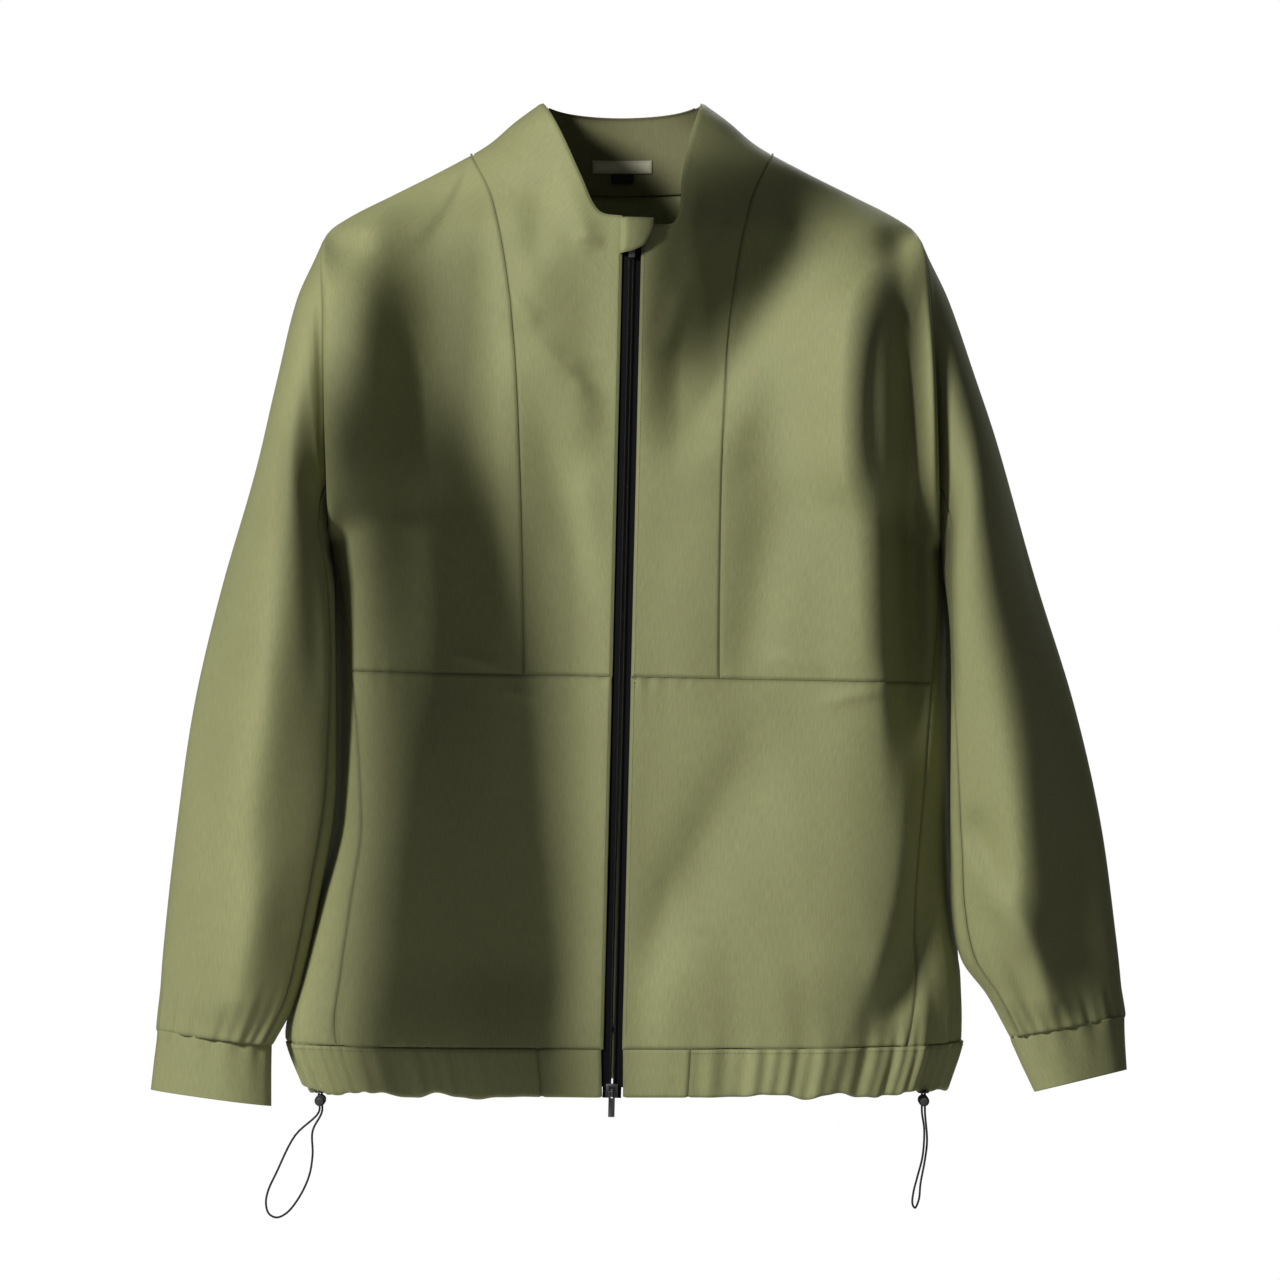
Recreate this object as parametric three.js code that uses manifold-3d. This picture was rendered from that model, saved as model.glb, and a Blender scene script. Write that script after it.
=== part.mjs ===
// A zip-front blouson jacket with a stand collar, as it hangs on a hanger, built from its cut pieces.
//
// The frame: millimetres, +Z up, the front faces -Y, the wearer's left is +X. The origin is the middle of
// the neck, at the height where the shoulders come to rest on a hanger's arms.
//
// The body is a stack of level rings. A ring at height z is a rounded outline, halfWidth(z) wide to each
// side and frontDepth(z) or backDepth(z) deep, and a point on it is named by its angle: 0 at the middle of the
// front, 90 at the wearer's left side, -90 at the right side, 180 at the middle of the back. Each cut piece is
// a patch of that surface, given a thickness inwards. The sleeves are stacks of slanted rings that start at
// the armhole.
import * as THREE from 'three';
import Module from 'manifold-3d';
import { mergeVertices } from 'three/addons/utils/BufferGeometryUtils.js';

const wasm = await Module();
wasm.setup();

// ---- driving dimensions ----
const CLOTH = 1.5; // shell thickness, two plies of cloth at the seams
const FACING = 1.2; // inner facings
const SEAM_GAP = 0.3; // half of the gap that parts two pieces at a seam

const HEM_BOTTOM = -705;
const HEM_SEAM = -669;
const WAIST_SEAM = -391;
const ARMPIT = -290;
const SHOULDER_TIP = -54.5;
const ARMHOLE_DEPTH = 75;
const COLLAR_TOP = 47.5;
const COLLAR_HALF = 60.5;
const PRINCESS_TOP = 8; // where the front seam meets the shoulder

const ZIP_TOP = new THREE.Vector3(8.2, -76, -50);
const ZIP_BOTTOM = new THREE.Vector3(-7.3, -92.4, HEM_BOTTOM);
const ZIP_HALF = 7; // half of the tape that shows between the fronts

// ---- small helpers ----
const DEG = Math.PI / 180;
const clamp = (t, lo = 0, hi = 1) => Math.min(hi, Math.max(lo, t));
const lerp = (a, b, t) => a + (b - a) * t;

// A smooth curve through [t, value] knots: cubic pieces whose slopes are taken from each knot's neighbours.
function curve(knots) {
  const slope = knots.map((k, i) => {
    const a = knots[Math.max(i - 1, 0)];
    const b = knots[Math.min(i + 1, knots.length - 1)];
    return (b[1] - a[1]) / (b[0] - a[0]);
  });
  return (t) => {
    const rising = knots[0][0] < knots[knots.length - 1][0];
    let i = 0;
    while (i < knots.length - 2 && (rising ? t > knots[i + 1][0] : t < knots[i + 1][0])) i += 1;
    const [t0, v0] = knots[i];
    const [t1, v1] = knots[i + 1];
    const w = t1 - t0;
    const s = clamp((t - t0) / w);
    const a = (2 * s ** 3 - 3 * s ** 2 + 1) * v0 + (s ** 3 - 2 * s ** 2 + s) * w * slope[i];
    return a + (3 * s ** 2 - 2 * s ** 3) * v1 + (s ** 3 - s ** 2) * w * slope[i + 1];
  };
}

const spread = (a, b, n) => Array.from({ length: n + 1 }, (_, i) => lerp(a, b, i / n));

// ---- the body's surface ----
// Half width to the wearer's left (+X) and right (-X): shoulder ridge down to the tip, armhole, side, hem.
const SHOULDER_RIDGE = [[47.5, 60.5], [32, 82], [14, 104], [-4.6, 138], [-23, 175], [-41, 210], [-54.5, 226]];
const leftWidth = curve([...SHOULDER_RIDGE, [-120, 233], [-230, 238], [-290, 241], [-330, 243], [-524, 246],
  [-580, 250], [-620, 257], [-669, 256], [-705, 245]]);
const rightWidth = curve([...SHOULDER_RIDGE, [-120, 224], [-230, 222], [-290, 221], [-330, 214], [-500, 214],
  [-560, 229], [-620, 246], [-650, 255], [-669, 256], [-705, 243]]);
const halfWidth = (z, sign) => (sign < 0 ? rightWidth(z) : leftWidth(z));
const zipDepth = (z) => 76 + 0.025 * (-50 - z);
const frontDepth = (z) => (z > -50 ? 76 - 0.12 * (z + 50) : zipDepth(z));
const backDepth = curve([[47.5, 60], [0, 64], [-60, 66], [-200, 74], [-400, 78], [-600, 86], [-705, 85]]);
const roundness = curve([[47.5, 2.0], [30, 1.95], [0, 1.6], [-30, 1.4], [-60, 1.7], [-150, 2.3], [-290, 2.6],
  [-340, 2.2], [-560, 2.2], [-640, 2.6], [-705, 2.6]]);

// How deep the armhole's own outline is at height z.
function armholeDepth(z) {
  const t = (SHOULDER_TIP - z) / (SHOULDER_TIP - ARMPIT);
  return t > 0 && t < 1 ? ARMHOLE_DEPTH * 2 * Math.sqrt(t * (1 - t)) : 0;
}

// A point on the body at an angle in degrees and a height. The waist tips a little to the wearer's left.
function body(angle, z) {
  const w = halfWidth(z, angle);
  const s = Math.sin(angle * DEG);
  const x = w * s;
  const m = roundness(z);
  const front = Math.abs(angle) <= 90;
  const depth = (front ? frontDepth(z) : backDepth(z)) * Math.max(0, 1 - Math.abs(s) ** m) ** (1 / m);
  const t = clamp((SHOULDER_TIP - z) / (SHOULDER_TIP - ARMPIT));
  const reach = 4 + 40 * (1 - 4 * t * (1 - t)) ** 4;
  const arm = armholeDepth(z) * Math.abs(s) ** reach;
  const tilt = 0.02 * x * Math.exp(-(((z - WAIST_SEAM) / 120) ** 2));
  return new THREE.Vector3(x, (front ? -1 : 1) * (depth + arm), z - tilt);
}

const angleAt = (x, z) => Math.asin(clamp(x / halfWidth(z, x), -1, 1)) / DEG;

// The way out of the body's surface. Along the shoulder's ridge it is kept level across, so that the front and
// the back pieces meet face to face.
function bodyNormal(angle, z) {
  const along = body(angle + 0.05, z).sub(body(angle - 0.05, z));
  const up = body(angle, z + 0.2).sub(body(angle, z - 0.2));
  const n = along.cross(up).normalize();
  if (Math.abs(Math.abs(angle) - 90) < 2 && z > SHOULDER_TIP - 2) n.y = 0;
  return n.normalize();
}

// ---- closed solids from grids ----
// Normals of a grid of points, turned so that they point away from `core`, a point inside.
function gridNormals(rows, core) {
  const nv = rows.length;
  const nu = rows[0].length;
  const normals = rows.map((row, j) => row.map((_, i) => {
    const du = row[Math.min(i + 1, nu - 1)].clone().sub(row[Math.max(i - 1, 0)]);
    const dv = rows[Math.min(j + 1, nv - 1)][i].clone().sub(rows[Math.max(j - 1, 0)][i]);
    return du.cross(dv).normalize();
  }));
  const j = nv >> 1;
  const i = nu >> 1;
  const away = rows[j][i].clone().sub(core);
  if (normals[j][i].dot(away) < 0) normals.forEach((row) => row.forEach((n) => n.negate()));
  return normals;
}

// A closed solid between a grid of outer points and a grid of inner points.
function shell(outer, inner, closed) {
  const nv = outer.length;
  const nu = outer[0].length;
  const points = [...outer.flat(), ...inner.flat()];
  const id = (layer, j, i) => layer * nv * nu + j * nu + (i % nu);
  const index = [];
  const quad = (a, b, c, d) => index.push(a, b, c, a, c, d);
  const last = closed ? nu : nu - 1;
  for (let j = 0; j < nv - 1; j += 1) {
    for (let i = 0; i < last; i += 1) {
      quad(id(0, j, i), id(0, j, i + 1), id(0, j + 1, i + 1), id(0, j + 1, i));
      quad(id(1, j, i), id(1, j + 1, i), id(1, j + 1, i + 1), id(1, j, i + 1));
    }
  }
  for (let i = 0; i < last; i += 1) {
    quad(id(0, 0, i), id(1, 0, i), id(1, 0, i + 1), id(0, 0, i + 1));
    quad(id(0, nv - 1, i), id(0, nv - 1, i + 1), id(1, nv - 1, i + 1), id(1, nv - 1, i));
  }
  for (let j = 0; j < nv - 1 && !closed; j += 1) {
    quad(id(0, j, 0), id(0, j + 1, 0), id(1, j + 1, 0), id(1, j, 0));
    quad(id(0, j, nu - 1), id(1, j, nu - 1), id(1, j + 1, nu - 1), id(0, j + 1, nu - 1));
  }
  return outwards(points, index);
}

// Turns the faces round if they point inwards.
function outwards(points, index) {
  let volume = 0;
  for (let k = 0; k < index.length; k += 3) {
    const [a, b, c] = [points[index[k]], points[index[k + 1]], points[index[k + 2]]];
    volume += a.dot(b.clone().cross(c));
  }
  if (volume < 0) {
    for (let k = 0; k < index.length; k += 3) [index[k + 1], index[k + 2]] = [index[k + 2], index[k + 1]];
  }
  const geometry = new THREE.BufferGeometry().setFromPoints(points);
  geometry.setIndex(index);
  geometry.computeVertexNormals();
  return geometry;
}

// A sheet: the outer grid, and the same grid moved towards `core`'s side.
function sheet(rows, thickness, core) {
  const normals = gridNormals(rows, core);
  const inner = rows.map((row, j) => row.map((p, i) => p.clone().addScaledVector(normals[j][i], -thickness)));
  return shell(rows, inner, false);
}

// A sheet on the body's surface, from rows of [angle, height].
function bodySheet(rows, thickness, from = 0) {
  const layer = (depth) => rows.map((row) => row.map(([angle, z]) => (
    body(angle, z).addScaledVector(bodyNormal(angle, z), -depth))));
  return shell(layer(from), layer(from + thickness), false);
}

// ---- boolean work ----
function solid(geometry) {
  const bare = new THREE.BufferGeometry();
  const source = geometry.index ? geometry.toNonIndexed() : geometry;
  bare.setAttribute('position', source.getAttribute('position').clone());
  const merged = mergeVertices(bare, 1e-4);
  return new wasm.Manifold(new wasm.Mesh({
    numProp: 3,
    vertProperties: new Float32Array(merged.attributes.position.array),
    triVerts: new Uint32Array(merged.index.array),
  }));
}

function geometryOf(made) {
  const mesh = made.getMesh();
  const positions = new Float32Array(mesh.numVert * 3);
  for (let i = 0; i < mesh.numVert; i += 1) {
    positions.set(mesh.vertProperties.subarray(i * mesh.numProp, i * mesh.numProp + 3), i * 3);
  }
  const geometry = new THREE.BufferGeometry();
  geometry.setAttribute('position', new THREE.BufferAttribute(positions, 3));
  geometry.setIndex(new THREE.BufferAttribute(new Uint32Array(mesh.triVerts), 1));
  geometry.computeVertexNormals();
  return geometry;
}

const joined = (...list) => geometryOf(list.map(solid).reduce((a, b) => a.add(b)));
const cut = (base, ...tools) => geometryOf(tools.map(solid).reduce((a, b) => a.subtract(b), solid(base)));

// A box between two corners.
function block(low, high) {
  const size = high.map((h, k) => h - low[k]);
  return new THREE.BoxGeometry(...size).translate(...high.map((h, k) => (h + low[k]) / 2));
}

// A cylinder along an axis letter, between two places on it, centred on the other two coordinates.
function rod(axis, radius, start, end, centre, sides = 16) {
  const geometry = new THREE.CylinderGeometry(radius, radius, end - start, sides);
  const middle = (start + end) / 2;
  if (axis === 'x') return geometry.rotateZ(-Math.PI / 2).translate(middle, centre[0], centre[1]);
  if (axis === 'y') return geometry.translate(centre[0], middle, centre[1]);
  return geometry.rotateX(Math.PI / 2).translate(centre[0], centre[1], middle);
}

// A round cord along a curve.
function cordAlong(path, diameter, steps, sides) {
  const round = new THREE.Shape().absarc(0, 0, diameter / 2, 0, 2 * Math.PI, false);
  return new THREE.ExtrudeGeometry(round, { steps, extrudePath: path, curveSegments: sides });
}

// ---- materials ----
const finish = (color, roughness, metalness = 0) => (
  new THREE.MeshStandardMaterial({ color, roughness, metalness }));
const OLIVE = finish(0x6e7248, 0.75);
const OLIVE_INSIDE = finish(0x47432c, 0.85);
const BLACK_TAPE = finish(0x141517, 0.7);
const BLACK_PLASTIC = finish(0x0c0d10, 0.4);
const BLACK_METAL = finish(0x15171c, 0.35, 0.8);
const CORD = finish(0x1b1b1d, 0.7);
const LABEL = finish(0xa8a488, 0.8);
const STEEL = finish(0x9a9c9e, 0.35, 0.9);

const jacket = new THREE.Group();
function add(name, geometry, material, parent = jacket) {
  const mesh = new THREE.Mesh(geometry, material);
  mesh.name = name;
  parent.add(mesh);
  return mesh;
}

// ---- seams, as angles on the body ----
const princessX = (z) => 73 + 38 * Math.exp((z - PRINCESS_TOP) / 90);
const zipX = (z) => lerp(ZIP_BOTTOM.x, ZIP_TOP.x, (z - ZIP_BOTTOM.z) / (ZIP_TOP.z - ZIP_BOTTOM.z));
const pocketAngle = curve([[-290, 86], [-391, 75], [-530, 65], [-669, 57]]); // front edge of the side panel
const SIDE_SEAM = 114; // back edge of the side panel
const RIDGE = 89.7;
const SEAM_TURN = 0.15; // half of a seam's gap on the sides, in degrees

const UPPER_LEVELS = [...spread(PRINCESS_TOP - 0.3, SHOULDER_TIP, 6), -75, -100, -130, -170, -210, -250,
  ARMPIT, -325, -358, WAIST_SEAM + SEAM_GAP];
const LOWER_LEVELS = spread(WAIST_SEAM - SEAM_GAP, HEM_SEAM + SEAM_GAP, 8);

// Rows of [angle, height] at the given heights, each between two angles that depend on the height.
function patch(levels, columns, fromAngle, toAngle) {
  return levels.map((z) => spread(fromAngle(z), toAngle(z), columns).map((angle) => [angle, z]));
}

// ---- front pieces ----
// The front neck piece is cut in one with the front of the collar. Its patch is worked out in the front view:
// the zip edge, the neck edge, the collar's ridge with the princess seam below it, and the waist seam.
const NECK_EDGES = {
  left: [[1, 15.2, -49], [0.86, 27, -51.5], [0.72, 39, -50], [0.62, 44, -40], [0.45, 45.5, -16],
    [0.25, 51, 12], [0.1, 57, 33], [0, 60.5, 47.2]],
  right: [[1, 1.2, -45.5], [0.8, -17, -41], [0.55, -30, -15], [0.3, -43, 14], [0.12, -53, 34],
    [0, -60.5, 47.2]],
};

function neckPatch(side) {
  const sign = side === 'left' ? 1 : -1;
  const columns = 7;
  const ridge = spread(COLLAR_TOP - 0.4, PRINCESS_TOP, 3).slice(0, 3);
  const outer = [
    ...ridge.map((z) => [halfWidth(z, sign) * Math.sin(RIDGE * DEG), z]),
    ...UPPER_LEVELS.map((z) => [Math.min(princessX(z), halfWidth(z, sign) - 0.2) - SEAM_GAP, z]),
  ].map(([x, z]) => [sign * x, z]);
  const inner = outer.map((_, j) => {
    const z = lerp(NECK_EDGES[side][0][2], WAIST_SEAM + SEAM_GAP, j / (outer.length - 1));
    return [zipX(z) + sign * ZIP_HALF, z];
  });
  inner[0] = NECK_EDGES[side][0].slice(1);
  const edgeX = curve(NECK_EDGES[side].map(([t, x]) => [1 - t, x]));
  const edgeZ = curve(NECK_EDGES[side].map(([t, , z]) => [1 - t, z]));
  const top = spread(0, 1, columns).map((u) => [edgeX(u), edgeZ(u)]);
  top[0] = inner[0];
  top[columns] = outer[0];
  const last = outer.length - 1;
  const bottom = spread(inner[last][0], outer[last][0], columns).map((x) => [x, WAIST_SEAM + SEAM_GAP]);
  return outer.map((_, j) => top.map((_p, i) => {
    const u = i / columns;
    const v = j / last;
    const at = [0, 1].map((k) => {
      const across = lerp(inner[j][k], outer[j][k], u);
      const down = lerp(top[i][k], bottom[i][k], v);
      const above = lerp(top[0][k], top[columns][k], u);
      const below = lerp(bottom[0][k], bottom[columns][k], u);
      return across + down - lerp(above, below, v);
    });
    return [angleAt(at[0], at[1]), at[1]];
  }));
}

const FACING_NEAR = 13.5; // the zip facings, from the zip's middle
const FACING_FAR = 48;
const FACING_DEPTH = 3.6; // behind the outer face of the front
const POCKET_TOP = WAIST_SEAM - 14;
const POCKET_BOTTOM = -600;
const POCKET_DEPTH = 5.4;

function frontPieces(side) {
  const sign = side === 'left' ? 1 : -1;
  add(`${side}_front_neck`, bodySheet(neckPatch(side), CLOTH), OLIVE);

  const seamAngle = (z) => angleAt(sign * (princessX(z) + SEAM_GAP), z);
  const sideAngle = (z) => sign * (z > ARMPIT + 1 ? RIDGE : pocketAngle(z) - SEAM_TURN);
  add(`${side}_front_chest`, bodySheet(patch(UPPER_LEVELS, 7, seamAngle, sideAngle), CLOTH), OLIVE);

  const zipEdge = (z) => angleAt(zipX(z) + sign * ZIP_HALF, z);
  const pocketEdge = (z) => sign * (pocketAngle(z) - SEAM_TURN);
  add(`${side}_front_skirt`, bodySheet(patch(LOWER_LEVELS, 10, zipEdge, pocketEdge), CLOTH), OLIVE);

  const sideLevels = [ARMPIT - 1, -325, -358, WAIST_SEAM, ...LOWER_LEVELS.slice(1)];
  add(`${side}_side_panel`, bodySheet(patch(sideLevels, 6, (z) => sign * (pocketAngle(z) + SEAM_TURN),
    () => sign * (SIDE_SEAM - SEAM_TURN)), CLOTH), OLIVE);

  // the facing that backs the zip, from the neck edge to the hem
  const facingLevels = [-62, -110, -170, -230, -300, WAIST_SEAM, -470, -560, HEM_SEAM + 2];
  const facingAngle = (reach) => (z) => angleAt(zipX(z) + sign * reach, z);
  add(`${side}_front_facing`, bodySheet(patch(facingLevels, 3, facingAngle(FACING_NEAR),
    facingAngle(FACING_FAR)), FACING, FACING_DEPTH), OLIVE_INSIDE);

  // the pocket bag hangs flat behind the skirt, from below the waist seam, open at the pocket seam
  add(`${side}_pocket_bag`, bodySheet(patch(spread(POCKET_TOP, POCKET_BOTTOM, 4), 5, () => sign * 15,
    (z) => sign * (pocketAngle(z) - 4)), FACING, POCKET_DEPTH), OLIVE_INSIDE);
}
frontPieces('right');
frontPieces('left');

// ---- back ----
// the back neck seam's height against the distance from the middle
const NECK_SEAM = curve([[0, -10], [60, -6], [104, PRINCESS_TOP - 0.3]]);

function backCollar() {
  const columns = 10;
  return spread(0, 1, 4).map((v) => spread(-1, 1, columns).map((u) => {
    const top = COLLAR_TOP - 0.4 - 5 * (1 - u * u);
    const z = lerp(top, NECK_SEAM(Math.abs(u) * 104) + SEAM_GAP, v);
    if (Math.abs(u) === 1) return [u * (180 - RIDGE), z];
    return [Math.sign(u || 1) * (180 - Math.abs(angleAt(u * lerp(COLLAR_HALF, 108, v), z))), z];
  }));
}
const collar = backCollar();
add('back_collar', bodySheet(collar, CLOTH), OLIVE);

function backPanel() {
  const levels = [...UPPER_LEVELS.slice(0, -1), WAIST_SEAM, ...LOWER_LEVELS.slice(1)];
  return levels.map((z) => spread(-1, 1, 16).map((u) => {
    const edge = z > ARMPIT + 1 ? 180 - RIDGE : SIDE_SEAM + SEAM_TURN;
    const angle = Math.sign(u || 1) * lerp(180, edge, Math.abs(u));
    const x = Math.abs(body(angle, z).x);
    const top = x < 104 ? NECK_SEAM(x) - SEAM_GAP : levels[0];
    const height = z > -30 ? lerp(Math.min(top, levels[0]), -30, (levels[0] - z) / (levels[0] + 30)) : z;
    return [angle, height];
  }));
}
add('back_panel', bodySheet(backPanel(), CLOTH), OLIVE);

// ---- inside the neck ----
add('neck_facing', bodySheet(collar.map((row) => row.slice(1, -1)), FACING, CLOTH + 0.5), OLIVE_INSIDE);

const TAG_THICKNESS = 0.6;
const TAG_DEPTH = CLOTH + FACING + 1.1; // behind the facing, from the outer face of the back
function tag(halfX, low, high) {
  const rows = spread(high, low, 2).map((z) => spread(-halfX, halfX, 4).map((x) => (
    [Math.sign(x || 1) * (180 - Math.abs(angleAt(x, z))), z])));
  return bodySheet(rows, TAG_THICKNESS, TAG_DEPTH);
}
add('neck_label', tag(23.7, -1, 9), LABEL);
add('size_tag', tag(9, -9, -1.8), BLACK_TAPE);

// ---- hem ----
// The hem is a casing: outer wall, fold and inner wall, open at the top, with the drawcord in its fold.
const HEM_TABS = { left: 52, right: -62.7 };
const HEM_CHANNEL = 4.4;
const CORD_DIAMETER = 1.6;

function hemCasing(angles) {
  const top = HEM_SEAM - SEAM_GAP;
  const levels = [top, (top + HEM_BOTTOM) / 2, HEM_BOTTOM + 1];
  const section = (angle) => {
    const outer = levels.map((z) => body(angle, z));
    const inward = (p, d) => {
      const a = body(angle - 0.5, p.z);
      const b = body(angle + 0.5, p.z);
      const n = new THREE.Vector3(b.y - a.y, -(b.x - a.x), 0).normalize();
      return p.clone().addScaledVector(n, d * -Math.sign(n.x * p.x + n.y * p.y));
    };
    const wall = outer.map((p) => inward(p, CLOTH));
    const far = outer.map((p) => inward(p, CLOTH + HEM_CHANNEL));
    const back = outer.map((p) => inward(p, 2 * CLOTH + HEM_CHANNEL));
    const fold = [wall[2], far[2]].map((p) => p.clone().setZ(HEM_BOTTOM + CLOTH));
    const low = [outer[2], back[2]].map((p) => p.clone().setZ(HEM_BOTTOM));
    return [
      outer[0], outer[1], low[0], low[1], back[1], back[0],
      far[0], far[1], fold[1], fold[0], wall[1], wall[0],
    ];
  };
  return ringed(angles.map(section));
}

// A solid swept through sections, each a closed ring of points, with flat ends.
function ringed(sections) {
  const n = sections[0].length;
  const index = [];
  for (let j = 0; j < sections.length - 1; j += 1) {
    for (let i = 0; i < n; i += 1) {
      const [a, b] = [j * n + i, j * n + ((i + 1) % n)];
      index.push(a, b, b + n, a, b + n, a + n);
    }
  }
  // the ends of the casing's section, as strips between its outline's two halves
  const half = n / 2;
  const cap = (base, flip) => {
    for (let i = 0; i < half - 1; i += 1) {
      const quad = [base + i, base + i + 1, base + n - 2 - i, base + n - 1 - i];
      const faces = [[0, 1, 2], [0, 2, 3]].map((f) => f.map((k) => quad[k]));
      faces.forEach((f) => index.push(...(flip ? f.reverse() : f)));
    }
  };
  cap(0, true);
  cap((sections.length - 1) * n, false);
  return outwards(sections.flat(), index);
}

// The middle of a drawcord's eyelet, in the casing's fold near the side.
const EYELET_X = 231;
function eyeletCentre(sign) {
  const angle = angleAt(sign * EYELET_X, HEM_BOTTOM);
  return inChannel(angle, HEM_BOTTOM);
}

// A point in the middle of the casing's channel.
function inChannel(angle, z) {
  const out = bodyNormal(angle, z).setZ(0).normalize();
  return body(angle, z).addScaledVector(out, -CLOTH - HEM_CHANNEL / 2);
}

// Moves a shape made round the Z axis to an eyelet.
function atEyelet(geometry, sign) {
  const centre = eyeletCentre(sign);
  return geometry.translate(centre.x, centre.y, 0);
}

const hemAngle = (x) => angleAt(x, HEM_SEAM);
const bandAngles = (side, sign) => (
  spread(hemAngle(HEM_TABS[side]) + sign * 0.1, sign * (SIDE_SEAM - 0.1), 14));
const BACK_ANGLES = spread(SIDE_SEAM + 0.1, 360 - SIDE_SEAM - 0.1, 18).map((a) => (a > 180 ? a - 360 : a));

function hem(side) {
  const sign = side === 'left' ? 1 : -1;
  const middle = (HEM_SEAM + HEM_BOTTOM) / 2;
  const zipEdge = angleAt(zipX(middle) + sign * (ZIP_HALF + 1), middle);
  add(`hem_tab_${side}`, hemCasing(spread(zipEdge, hemAngle(HEM_TABS[side]) - sign * 0.1, 2)), OLIVE);
  const hole = atEyelet(block([-3.2, -1.7, HEM_BOTTOM - 2], [3.2, 1.7, HEM_BOTTOM + 3]), sign);
  add(`hem_band_${side}`, cut(hemCasing(bandAngles(side, sign)), hole), OLIVE);
}
hem('right');
hem('left');
add('hem_band_back', hemCasing(BACK_ANGLES), OLIVE);

// The elastic drawcord inside the casing, from facet to facet of it.
function casedCord(angles) {
  const z = HEM_BOTTOM + CLOTH + 2;
  const radius = CORD_DIAMETER / 2;
  return ringed(angles.map((angle) => {
    const out = bodyNormal(angle, z).setZ(0).normalize();
    return spread(0, 360, 6).slice(0, 6).map((turn) => {
      const across = radius * Math.cos(turn * DEG);
      return inChannel(angle, z).addScaledVector(out, across).setZ(z + radius * Math.sin(turn * DEG));
    });
  }));
}

function hemCords() {
  const eyelet = angleAt(EYELET_X, HEM_BOTTOM);
  const beyond = (side, sign) => bandAngles(side, sign).filter((a) => sign * a > eyelet + 2);
  const before = (side, sign) => bandAngles(side, sign).filter((a) => sign * a < eyelet - 2);
  add('drawcord_front_right', casedCord(before('right', -1)), CORD);
  add('drawcord_front_left', casedCord(before('left', 1)), CORD);
  const backRun = [...beyond('left', 1), ...BACK_ANGLES, ...beyond('right', -1).reverse()];
  add('drawcord_back', casedCord(backRun), CORD);
}
hemCords();

// ---- sleeves ----
// A sleeve is a stack of rings that fan round the armpit, from the upright armhole to the level wrist. A ring
// is set by its outer and inner edge in the front view, and its depth; its front end is turned to the body.
const RING_OUTER = [-54.5, -72, -105, -150, -205, -265, -330, -395, -460, -525, -590, -630];
const RING_INNER = [-290, -291.5, -295, -301, -312, -335, -375, -425, -480, -540, -600, -637];
const SLEEVE = {
  right: {
    outer: curve([[-54.5, 227], [-69, 233], [-103, 248], [-164, 263], [-226, 279], [-317, 306], [-409, 327],
      [-501, 340], [-593, 350], [-662, 355]]),
    inner: curve([[-290, 222.5], [-335, 217.5], [-467, 216.5], [-501, 219], [-547, 227], [-594, 236],
      [-637, 247], [-672, 266]]),
    wrist: [-662.2, -672],
    cuff: [[-662.8, 355, -672.6, 267], [-684, 358, -695, 267], [-706, 360.3, -717.6, 267]],
  },
  left: {
    outer: curve([[-54.5, 227], [-69, 233], [-103, 249], [-164, 270], [-226, 292], [-317, 319], [-409, 346],
      [-501, 366], [-593, 378], [-651, 384]]),
    inner: curve([[-290, 242.6], [-371, 248], [-524, 249], [-570, 250], [-607, 258], [-633, 277],
      [-667, 296]]),
    wrist: [-651.5, -666.5],
    cuff: [[-652.1, 384, -667.1, 296], [-671, 385, -686, 304], [-690.8, 386.3, -707, 314]],
  },
};
const sleeveDepth = curve([[0, ARMHOLE_DEPTH], [3, 75], [6, 64], [9, 50], [12, 36]]);
const SLEEVE_TURN = 26 * DEG;
const SLEEVE_FORWARD = 16;
const settle = (j) => THREE.MathUtils.smoothstep(j, 3, 7);

// A ring: its edges are [outer height, outer reach, inner height, inner reach].
function ring(sign, edges, depth, settled, start = false) {
  const [zo, xo, zi, xi] = edges;
  const turn = SLEEVE_TURN * settled;
  const extent = (xo - xi) / 2;
  const across = Math.sign(extent) * Math.sqrt(Math.max(extent ** 2 - (depth * Math.sin(turn)) ** 2, 0));
  const centre = new THREE.Vector3(sign * (xo + xi) / 2, -SLEEVE_FORWARD * settled, (zo + zi) / 2);
  const at = (degrees) => {
    const [c, s] = [Math.cos(degrees * DEG), Math.sin(degrees * DEG)];
    const x = sign * (across * c - depth * Math.sin(turn) * s);
    const p = new THREE.Vector3(x, -depth * Math.cos(turn) * s, ((zo - zi) / 2) * c).add(centre);
    if (start) p.x = sign * (halfWidth(p.z, sign) + 2 * SEAM_GAP);
    return p;
  };
  return { centre, at };
}

function sleeveRings(side) {
  const sign = side === 'left' ? 1 : -1;
  const { outer, inner, wrist } = SLEEVE[side];
  const zo = [...RING_OUTER, wrist[0]];
  const zi = [...RING_INNER, wrist[1]];
  return zo.map((z, j) => ring(sign, [z, outer(z), zi[j], inner(zi[j])], sleeveDepth(j), settle(j), j === 0));
}

const cuffRings = (side, sign) => SLEEVE[side].cuff.map((edges, k) => ring(sign, edges, 36 - 2 * k, 1));

// A tube wall through rings, over a range of angles round them. `from` is the depth of its outer face.
function tubeSheet(rings, start, end, columns, thickness, from = 0) {
  const closed = end - start === 360;
  const angles = spread(start, end, columns).slice(0, closed ? columns : columns + 1);
  const layer = (depth) => rings.map(({ centre, at }) => angles.map((degrees) => {
    const p = at(degrees);
    const inwards = centre.clone().sub(p).normalize();
    return p.addScaledVector(inwards, depth);
  }));
  return shell(layer(from), layer(from + thickness), closed);
}

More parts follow.
